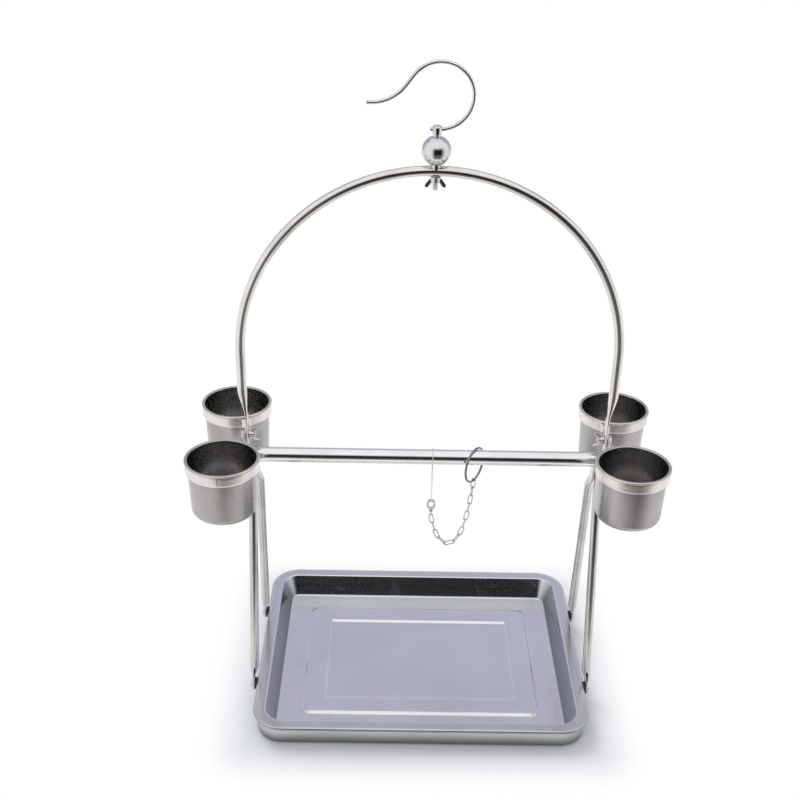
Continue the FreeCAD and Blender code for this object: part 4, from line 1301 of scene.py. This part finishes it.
@dataclass
class Cups:
    """Four spun cups and the two bent strips that hold them."""

    wall: float = 0.7 * MM
    base: float = 27.7 * MM
    mouth: float = 29.2 * MM
    foot_round: float = 6.0 * MM
    bead: float = 1.0 * MM
    bead_out: float = 30.4 * MM
    dish: float = 0.6 * MM
    foot_lift: float = 0.4 * MM
    foot_end: float = 356.0
    strip: float = 1.0 * MM
    strip_edge: float = 0.25 * MM
    bore: float = 29.8 * MM
    waist_in: float = 156.65 * MM
    neck: float = 5.0 * MM
    seam: float = 0.5 * MM
    # Painted light multiplied into the cups' tone: a little brighter inside, and a painted highlight round
    # the bead, less blue, which fades in and out over the bead steps.
    inside: Colour = (1.18, 1.20, 1.19)
    bead_painted_highlight: Colour = (1.58, 1.60, 1.30)
    bead_steps: tuple[float, ...] = (-11.0, -9.0, 0.0, 3.0)

    def cup_profile(self, height: float) -> np.ndarray:
        """Section of a cup: dished base, rounded foot, flared wall, rolled bead, and the inner face.

        The dish is a parabola, dish * (1 - s^2) at share s of the flat base.

        Args:
            height: the cup's height.

        Returns:
            (radius, height) from the axis below to the axis inside.
        """
        top, foot = height - self.bead, self.foot_round + self.foot_lift
        flat = self.base - self.foot_round
        inner = self.mouth - self.wall
        share = np.linspace(0.0, 1.0, 8)
        dish = np.stack([flat * share, self.dish * (1.0 - share ** 2)], axis=1)
        return chained(
            dish,
            arc((flat, self.foot_round), self.foot_round, 270, self.foot_end, 12),
            line((self.base, foot), (self.mouth, top - self.bead), 16),
            line((self.mouth, top - self.bead), (self.bead_out, top - self.bead), 3),
            arc((self.bead_out, top), self.bead, 270, 450, 12),
            line((self.bead_out, height), (inner + self.bead, height), 2),
            arc((inner + self.bead, top), self.bead, 90, 180, 7),
            line((inner, top), (self.base - self.wall, foot), 16),
            arc((flat, self.foot_round), self.foot_round - self.wall, self.foot_end, 270, 12),
            dish[::-1] + (0.0, self.wall),
        )

    def strip_path(self, side: str) -> np.ndarray:
        """Middle line of one band's strip as (x, y), from its seam round both loops and back.

        It runs along the inner neck from the first loop to the second, and back along the outer neck.
        Each neck is a pair of arcs of one radius that touch a loop's circle and the neck's straight wall.

        Args:
            side: left or right.

        Returns:
            Array (points, 2), drawn for the right side with its seam at the back, and turned half about for
            the left.
        """
        low, high = box_of("cup_back_right")
        centre, mirror = (low + high)[:2] / 2.0, np.array([1.0, -1.0])
        ring, bend = self.bore + self.strip / 2.0, self.neck + self.strip / 2.0
        spots, tilts = [], []
        for wall, way in ((0.5, -1.0), (1.5, 1.0)):
            across = self.waist_in + wall * self.strip + way * bend
            drop = math.sqrt((ring + bend) ** 2 - (across - centre[0]) ** 2)
            spots.append(np.array([across, centre[1] - drop]))
            tilts.append(math.degrees(math.atan2(drop, centre[0] - across)))
        (inner, outer), (lean, tilt) = spots, tilts
        gap = math.degrees(self.seam / (2.0 * ring))
        points = chained(
            arc(centre, ring, 90.0 + gap, 180.0 + lean, 70),
            arc(inner, bend, lean, 0.0, 12),
            arc(inner * mirror, bend, 0.0, -lean, 12),
            arc(centre * mirror, ring, 180.0 - lean, 540.0 - tilt, 120),
            arc(outer * mirror, bend, 360.0 - tilt, 180.0, 16),
            arc(outer, bend, 180.0, tilt, 16),
            arc(centre, ring, tilt - 180.0, 90.0 - gap, 70),
        )
        return points if side == "right" else -points

    def cup_painted_light(self, profile: np.ndarray) -> np.ndarray:
        """Painted light on a cup's section: none outside, a painted highlight round the bead, and a little
        painted light inside.

        Args:
            profile: (radius, height) of the section, from below to the inside.

        Returns:
            Array (points, 1, 3).
        """
        step = np.arange(len(profile)) - float(profile[:, 1].argmax())
        start, full, end, gone = self.bead_steps
        inner = soft_step(step, end, gone)[:, None]
        bead = soft_step(step, start, full)[:, None] * (1.0 - inner)
        bright, painted_inside_light = np.array(self.bead_painted_highlight) - 1.0, np.array(self.inside) - 1.0
        return (1.0 + bead * bright + inner * painted_inside_light)[:, None]

    def strip_section(self, tall: float) -> np.ndarray:
        """The strip's section: a thin rectangle with broken edges.

        Args:
            tall: its height.

        Returns:
            Array (points, 2).
        """
        thin, half, cut = self.strip / 2.0, tall / 2.0, self.strip_edge
        return chained(
            arc((thin - cut, half - cut), cut, 0, 90, 4),
            arc((cut - thin, half - cut), cut, 90, 180, 4),
            line((-thin, half - cut), (-thin, cut - half), 6),
            arc((cut - thin, cut - half), cut, 180, 270, 4),
            arc((thin - cut, cut - half), cut, 270, 360, 4),
            line((thin, cut - half), (thin, half - cut), 6)[:-1],
        )

    def build(self) -> None:
        """Make both bands and all four cups."""
        for side in SIDES:
            band = f"cup_band_{side}"
            low, high = box_of(band)
            flat = self.strip_path(side)
            middle = np.full((len(flat), 1), (low[2] + high[2]) / 2.0)
            path = np.concatenate([flat, middle], axis=1)
            across = np.cross(tangents(path), AXES[2])
            grid = carried(path, across, AXES[2], self.strip_section(high[2] - low[2])[None])
            dress(f"band_strip_{side}", [Patch(capped(grid))], Finish.BAND, f"band_{side}", [band])
            for row in ROWS:
                name = f"cup_{row}_{side}"
                low, high = box_of(name)
                spindle = Spindle(np.array([*((low + high)[:2] / 2.0), low[2]]), AXES[2])
                profile = self.cup_profile(high[2] - low[2])
                # The bowl carries painted light: a little brighter inside, and a painted highlight round the
                # bead.
                bowl = replace(spindle.turned(profile, 128), painted_light=self.cup_painted_light(profile))
                dress(f"{name}_bowl", [bowl], Finish.CUP, name, [name])


@dataclass
class Top:
    """What stands on the bow: ball, stud, hook, and the wing nut below."""

    seat: float = 4.0 * MM
    shank: float = 2.0 * MM
    neck: float = 3.0 * MM
    head: float = 3.8 * MM
    head_round: float = 2.4 * MM
    step: float = 10.0 * MM
    head_tall: float = 6.9 * MM
    thread_top: float = 481.0 * MM
    sweep: float = 142.0
    run: float = 11.2 * MM
    flick: float = 32.2 * MM
    tip: float = 4.5 * MM
    stub: float = 6.0 * MM
    spotface: float = 0.5 * MM
    edge: float = 0.35 * MM
    collar: float = 3.0 * MM
    collar_edge: float = 0.1 * MM
    pitch: float = 0.7 * MM
    groove: float = 0.32 * MM

    def ball(self) -> None:
        """The ball: a polished sphere with a flat seat and a spotface, turned about Z."""
        low, high = box_of("ball")
        radius = (high[0] - low[0]) / 2.0
        flat = math.degrees(math.asin(self.seat / radius))
        mouth = math.degrees(math.asin(self.neck / radius))
        middle = low[2] + radius * math.cos(math.radians(flat))
        profile = chained(
            line((0.0, low[2]), (self.seat, low[2]), 4),
            arc((0.0, middle), radius, flat - 90.0, 90.0 - mouth, 64),
            line((self.neck, high[2]), (0.0, high[2] - self.spotface), 3),
        )
        spindle = Spindle(np.zeros(3), AXES[2])
        dress("ball_polished", [spindle.turned(profile, 96)], Finish.BRIGHT, "stand", ["ball"])
        keep_node("ball_saddle", Finish.BRIGHT)

    def stud(self) -> None:
        """The stud: neck and rounded head turned about Z, and the thread below the bow."""
        low, high = box_of("hook_stud")
        top = high[2]
        shoulder = top - self.head_tall
        cut, collar = self.edge, shoulder - self.collar
        profile = chained(
            line((0.0, shoulder - self.step), (self.shank, shoulder - self.step), 2),
            line((self.shank, shoulder - self.step), (self.neck - cut, collar - self.collar_edge), 2),
            line((self.neck, collar), (self.neck, shoulder), 3),
            line((self.neck, shoulder), (self.head - cut, shoulder), 2),
            line((self.head, shoulder + cut), (self.head, top - self.head_round), 4),
            arc((self.head - self.head_round, top - self.head_round), self.head_round, 0, 90, 10),
            line((self.head - self.head_round, top), (0.0, top), 3),
        )
        spindle = Spindle(np.zeros(3), AXES[2])
        patches = [spindle.turned(profile, 56),
                   spindle.thread(self.shank, low[2], self.thread_top, self.pitch, self.groove)]
        dress("stud_turned", patches, Finish.BRIGHT, "hook", ["hook_stud"])

    def hook(self) -> None:
        """The hook: stub through the stud, loop, short straight, and a bend back to the tip, all flat."""
        low, high = box_of("hook")
        wire = (high[1] - low[1]) / 2.0
        eye = low[2] + wire
        radius = (high[2] - low[2]) / 2.0 - wire
        start = high[0] - wire - radius
        centre = np.array([start, eye + radius])
        turn = math.radians(self.sweep)
        out = np.array([math.cos(turn), math.sin(turn)])
        leave = centre + radius * out
        bend = leave + self.run * np.array([-out[1], out[0]])
        middle = bend + self.flick * out
        flat = chained(
            line((-self.stub, eye), (start, eye), 8),
            arc(centre, radius, -90.0, self.sweep, 90),
            line(leave, bend, 8),
            arc(middle, self.flick, self.sweep + 180.0, 270.0, 20),
            line(middle - (0.0, self.flick), middle - (self.tip, self.flick), 5),
        )
        path = np.stack([flat[:, 0], np.zeros(len(flat)), flat[:, 1]], axis=1)
        dress("hook_wire", [wire_along(path, AXES[1], wire, 24)], Finish.WIRE, "hook", ["hook"])

    def build(self) -> None:
        """Make ball, stud and hook."""
        self.ball()
        self.stud()
        self.hook()


@dataclass
class Leash:
    """Ring, chain, jump ring, clasp and wire loop."""

    bend_points: int = 14
    run_points: int = 5
    round_share: float = 0.2
    tight: float = 1.7 * MM

    def oval(self, node: str, count: int) -> Patch:
        """A closed wire oval laid in the node's own main axes.

        The axes come from the singular vectors of the node's vertices. With half length p, half width q
        and wire radius w, the wire's middle runs round two half circles of radius q - w, drawn apart by
        2 (p - q).

        Args:
            node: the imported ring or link.
            count: points round the wire.

        Returns:
            The wire's surface.
        """
        points = vertices_of(node)
        middle = points.mean(0)
        axes = np.linalg.svd(points - middle, full_matrices=False)[2]
        local = (points - middle) @ axes.T
        low, high = local.min(0), local.max(0)
        middle = middle + ((low + high) / 2.0) @ axes
        half = (high - low) / 2.0
        wire = half[2]
        bend = half[1] - wire
        apart = half[0] - half[1]
        if apart < wire * self.round_share:
            flat = arc((0.0, 0.0), half[:2].mean() - wire, 0.0, 360.0, 4 * self.bend_points + 1)[:-1]
        else:
            flat = chained(
                arc((apart, 0.0), bend, -90.0, 90.0, self.bend_points),
                line((apart, bend), (-apart, bend), self.run_points),
                arc((-apart, 0.0), bend, 90.0, 270.0, self.bend_points),
                line((-apart, -bend), (apart, -bend), self.run_points)[:-1])
        path = middle + flat @ axes[:2]
        return wire_along(path, axes[2], wire, count, closed=True)

    def loop(self) -> Patch:
        """The thin loop over the bar: a wide bend above, a tight one below, and two lines that touch both.

        Returns:
            The wire's surface.
        """
        low, high = box_of("leash_loop")
        wire, wide = ((high - low) / 2.0)[:2]
        wide, tight = wide - wire, self.tight
        bar_low, bar_high = box_of("perch_tube")
        above = np.array([0.0, (bar_low[2] + bar_high[2]) / 2.0])
        below = np.array([0.0, low[2] + wire + tight])
        lean = math.asin((wide - tight) / (above - below)[1])
        right = np.array([math.cos(lean), -math.sin(lean)])
        left, tilt = right * (-1.0, 1.0), math.degrees(lean)
        flat = chained(
            arc(above, wide, -tilt, 180.0 + tilt, 40),
            line(above + wide * left, below + tight * left, 8),
            arc(below, tight, 180.0 + tilt, 360.0 - tilt, 14),
            line(below + tight * right, above + wide * right, 8)[:-1],
        )
        across = np.full(len(flat), (low[0] + high[0]) / 2.0)
        path = np.stack([across, flat[:, 0], flat[:, 1]], axis=1)
        return wire_along(path, AXES[0], wire, 12, closed=True)

    def build(self) -> None:
        """Make every ring and link of the leash."""
        links = sorted(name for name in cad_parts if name.startswith("chain_link_"))
        for node in ("leash_ring", *links, "leash_jump_ring"):
            finish, count = (Finish.DARK, 20) if node == "leash_ring" else (Finish.CHAIN, 14)
            dress(f"{node}_wire", [self.oval(node, count)], finish, "leash", [node])
        dress("leash_loop_wire", [self.loop()], Finish.WIRE, "leash", ["leash_loop"])
        keep_node("leash_clasp", Finish.CHAIN)


@dataclass
class Studio:
    """Floor, world, lamps, reflection cards and camera."""

    floor_tone: Colour = (0.88, 0.90, 0.955)
    floor_half: float = 8.0
    floor_drop: float = 0.2 * MM
    shade_reach: float = 50.0 * MM
    fill: float = 0.72
    lamp_spot: Colour = (-0.9, 0.9, 1.9)
    lamp_size: float = 1.4
    lamp_power: float = 16.0
    card_far: float = 1.9
    card_near: float = 0.24
    card_tall: float = 1.9
    card_lift: float = 1.0 * MM
    front_bearings: tuple[float, float] = (-44.0, 74.0)
    back_bearings: tuple[float, float] = (95.0, 265.0)
    back_tilts: tuple[float, float] = (3.0, 64.0)
    side_fade: tuple[float, float] = (0.28, 0.36)
    dark_tone: Colour = (0.012, 0.012, 0.0115)
    near_tone: Colour = (0.16, 0.153, 0.145)
    far_tone: Colour = (0.04, 0.042, 0.038)
    high_tone: Colour = (0.07, 0.072, 0.066)
    back_tones: tuple[Colour, Colour] = ((0.58, 0.57, 0.72), (0.46, 0.47, 0.58))
    eye: Colour = (-32.97 * MM, -868.43 * MM, 740.3 * MM)
    yaw: float = 0.60
    pitch: float = -27.71
    roll: float = 1.23
    lens: float = 51.63
    sensor: float = 36.0

    def place_stage(self, name: str, patch: Patch, material: bpy.types.Material) -> bpy.types.Object:
        """Put a stage surface into the scene.

        Args:
            name: its name.
            patch: the surface.
            material: what it shows.

        Returns:
            The stage object.
        """
        mesh = mesh_of(name, [patch])
        mesh.materials.append(material)
        made = bpy.data.objects.new(name, mesh)
        bpy.context.scene.collection.objects.link(made)
        return made

    def floor(self) -> None:
        """A pale floor that keeps the shadow near the stand and turns plain white further out."""
        reach = np.array([-self.floor_half, self.floor_half])
        level = np.full((2, 2), -self.floor_drop)
        grid = np.stack([*np.meshgrid(reach, reach, indexing="ij"), level], axis=2)
        made, sheet = new_material("studio_floor")
        solid = sheet.add("ShaderNodeTexCoord").outputs["Object"]
        parts = sheet.add("ShaderNodeSeparateXYZ", None, {"Vector": solid}).outputs
        sides = [Signal(sheet, part) for part in parts[:2]]
        beyond = [(side * side) ** 0.5 - float(half) for side, half in zip(sides, box_of("tray")[1])]
        across, along = (side.largest(0.0) for side in beyond)
        away = (across * across + along * along) ** 0.5
        matt = sheet.add("ShaderNodeBsdfDiffuse", None, {"Color": self.floor_tone})
        plain = sheet.add("ShaderNodeEmission", None, {"Color": (1.0, 1.0, 1.0), "Strength": 1.0})
        share = sheet.seen_directly() * away.between(0.0, self.shade_reach)
        mixed = sheet.add("ShaderNodeMixShader", None, {0: share, 1: matt.outputs[0], 2: plain.outputs[0]})
        sheet.add("ShaderNodeOutputMaterial", None, {"Surface": mixed.outputs[0]})
        self.place_stage("studio_floor", Patch(grid, closed_columns=False), made)

    def world(self) -> None:
        """An even white surround, a little weaker as light than as background."""
        world = bpy.data.worlds.new("studio_world")
        world.use_nodes = True
        bpy.context.scene.world = world
        sheet = NodeSheet(world.node_tree)
        strength = sheet.seen_directly() * (1.0 - self.fill) + self.fill
        light = sheet.add("ShaderNodeBackground", None, {"Color": (1.0, 1.0, 1.0), "Strength": strength})
        sheet.add("ShaderNodeOutputWorld", None, {"Surface": light.outputs[0]})

    def lamp(self) -> None:
        """A large soft lamp behind and to the left, which draws the shadow forwards."""
        data = bpy.data.lights.new("soft_lamp", "AREA")
        data.shape = "DISK"
        data.size = self.lamp_size
        data.energy = self.lamp_power
        made = bpy.data.objects.new("soft_lamp", data)
        bpy.context.scene.collection.objects.link(made)
        made.location = self.lamp_spot
        made.rotation_mode = "QUATERNION"
        made.rotation_quaternion = (-Vector(self.lamp_spot)).to_track_quat("-Z", "Y")
        made.visible_glossy = False

    def card(self, name: str, grid: np.ndarray, edges: Sequence[tuple[float, float]],
             tones: tuple[Colour, Colour]) -> None:
        """A card that only polished metal sees.

        Args:
            name: its name.
            grid: its points, with rows and columns as texture directions.
            edges: how far the card fades in along rows and columns, as shares at both ends.
            tones: its colours towards the first and the last row.
        """
        made, sheet = new_material(name)
        places = sheet.add("ShaderNodeTexCoord").outputs["UV"]
        parts = sheet.add("ShaderNodeSeparateXYZ", None, {"Vector": places}).outputs
        cover: Number = 1.0
        for number, (low, high) in enumerate(edges):
            along = Signal(sheet, parts[number])
            for soft, share in ((low, along), (high, 1.0 - along)):
                if soft:
                    cover = share.between(0.0, soft) * cover
        tone = sheet.blend(Signal(sheet, parts[0]).between(0.3, 0.75), *tones)
        shown = sheet.add("ShaderNodeEmission", None, {"Color": tone, "Strength": 1.0})
        clear = sheet.add("ShaderNodeBsdfTransparent")
        mixed = sheet.add("ShaderNodeMixShader", None, {0: cover, 1: clear.outputs[0], 2: shown.outputs[0]})
        sheet.add("ShaderNodeOutputMaterial", None, {"Surface": mixed.outputs[0]})
        card = self.place_stage(name, Patch(grid, closed_columns=False), made)
        shares = [np.linspace(0.0, 1.0, count) for count in grid.shape[:2]]
        shares = np.stack(np.meshgrid(*shares, indexing="ij"), axis=2).reshape(-1, 2)
        loops = np.empty(len(card.data.loops), np.int32)
        card.data.loops.foreach_get("vertex_index", loops)
        card.data.uv_layers[0].data.foreach_set("uv", shares[loops].astype(np.float32).ravel())
        for ray in ("camera", "diffuse", "transmission", "volume_scatter", "shadow"):
            setattr(card, f"visible_{ray}", False)

    @staticmethod
    def bearings(start: float, end: float) -> np.ndarray:
        """Level unit vectors for bearings in degrees, 0 towards the front and 90 to the right."""
        turn = np.radians(np.linspace(start, end, 48))
        return np.stack([np.sin(turn), -np.cos(turn), np.zeros_like(turn)], axis=1)

    def cards(self) -> None:
        """The dark room in front, the floor beyond the table's edge, and the pale wall behind."""
        way = self.bearings(*self.front_bearings)
        lift = np.linspace(0.0, self.card_tall, 16)
        upright = way[None] * self.card_far + lift[:, None, None] * AXES[2]
        self.card("front_card", upright, ((0.0, 0.5), self.side_fade), (self.dark_tone, self.high_tone))
        reach = np.linspace(self.card_near, self.card_far, 24)
        flat = reach[:, None, None] * way[None] + self.card_lift * AXES[2]
        self.card("floor_card", flat, ((0.18, 0.0), self.side_fade), (self.near_tone, self.far_tone))
        tilt = np.radians(np.linspace(*self.back_tilts, 20))[:, None, None]
        dome = np.cos(tilt) * self.bearings(*self.back_bearings)[None] + np.sin(tilt) * AXES[2]
        self.card("back_card", dome * self.card_far, ((0.15, 0.22), (0.18, 0.18)), self.back_tones)

    def camera(self) -> None:
        """The camera at the photograph's angle, from its yaw, pitch and roll in degrees."""
        yaw, pitch, roll = (math.radians(angle) for angle in (self.yaw, self.pitch, self.roll))
        ahead = np.array([math.sin(yaw) * math.cos(pitch), math.cos(yaw) * math.cos(pitch), math.sin(pitch)])
        level = np.array([math.cos(yaw), -math.sin(yaw), 0.0])
        above = np.cross(level, ahead)
        right = level * math.cos(roll) + above * math.sin(roll)
        up = above * math.cos(roll) - level * math.sin(roll)
        data = bpy.data.cameras.new("camera")
        data.lens, data.sensor_width = self.lens, self.sensor
        data.clip_start, data.clip_end = 0.01, 50.0
        made = bpy.data.objects.new("camera", data)
        bpy.context.scene.collection.objects.link(made)
        matrix = np.eye(4)
        matrix[:3, 0], matrix[:3, 1], matrix[:3, 2], matrix[:3, 3] = right, up, -ahead, self.eye
        made.matrix_world = Matrix(matrix.tolist())
        bpy.context.scene.camera = made

    def build(self) -> None:
        """Set up the whole studio."""
        bpy.context.scene.view_settings.view_transform = "Standard"
        self.floor()
        self.world()
        self.lamp()
        self.cards()
        self.camera()


def build_wing_nuts() -> None:
    """Make the two band nuts and the nut under the bow."""
    nut = WingNut()
    for side, sign in SIDES.items():
        low, high = box_of(f"wing_nut_{side}")
        middle = (low + high) / 2.0
        base = high[0] if sign > 0 else low[0]
        nut.build(f"wing_nut_{side}", f"nut_{side}", np.array([base, 0.0, middle[2]]), -sign * AXES[0])
    low, high = box_of("top_wing_nut")
    nut.build("top_wing_nut", "top_nut", np.array([0.0, 0.0, high[2]]), -AXES[2])


def main() -> None:
    """Build the stand piece by piece, then the studio."""
    logging.basicConfig(level=logging.INFO, format="%(name)s: %(message)s")
    Tray().build()
    Frame().build()
    Screws().build()
    build_wing_nuts()
    Cups().build()
    Top().build()
    Leash().build()
    Studio().build()


if __name__ == "__main__":
    main()
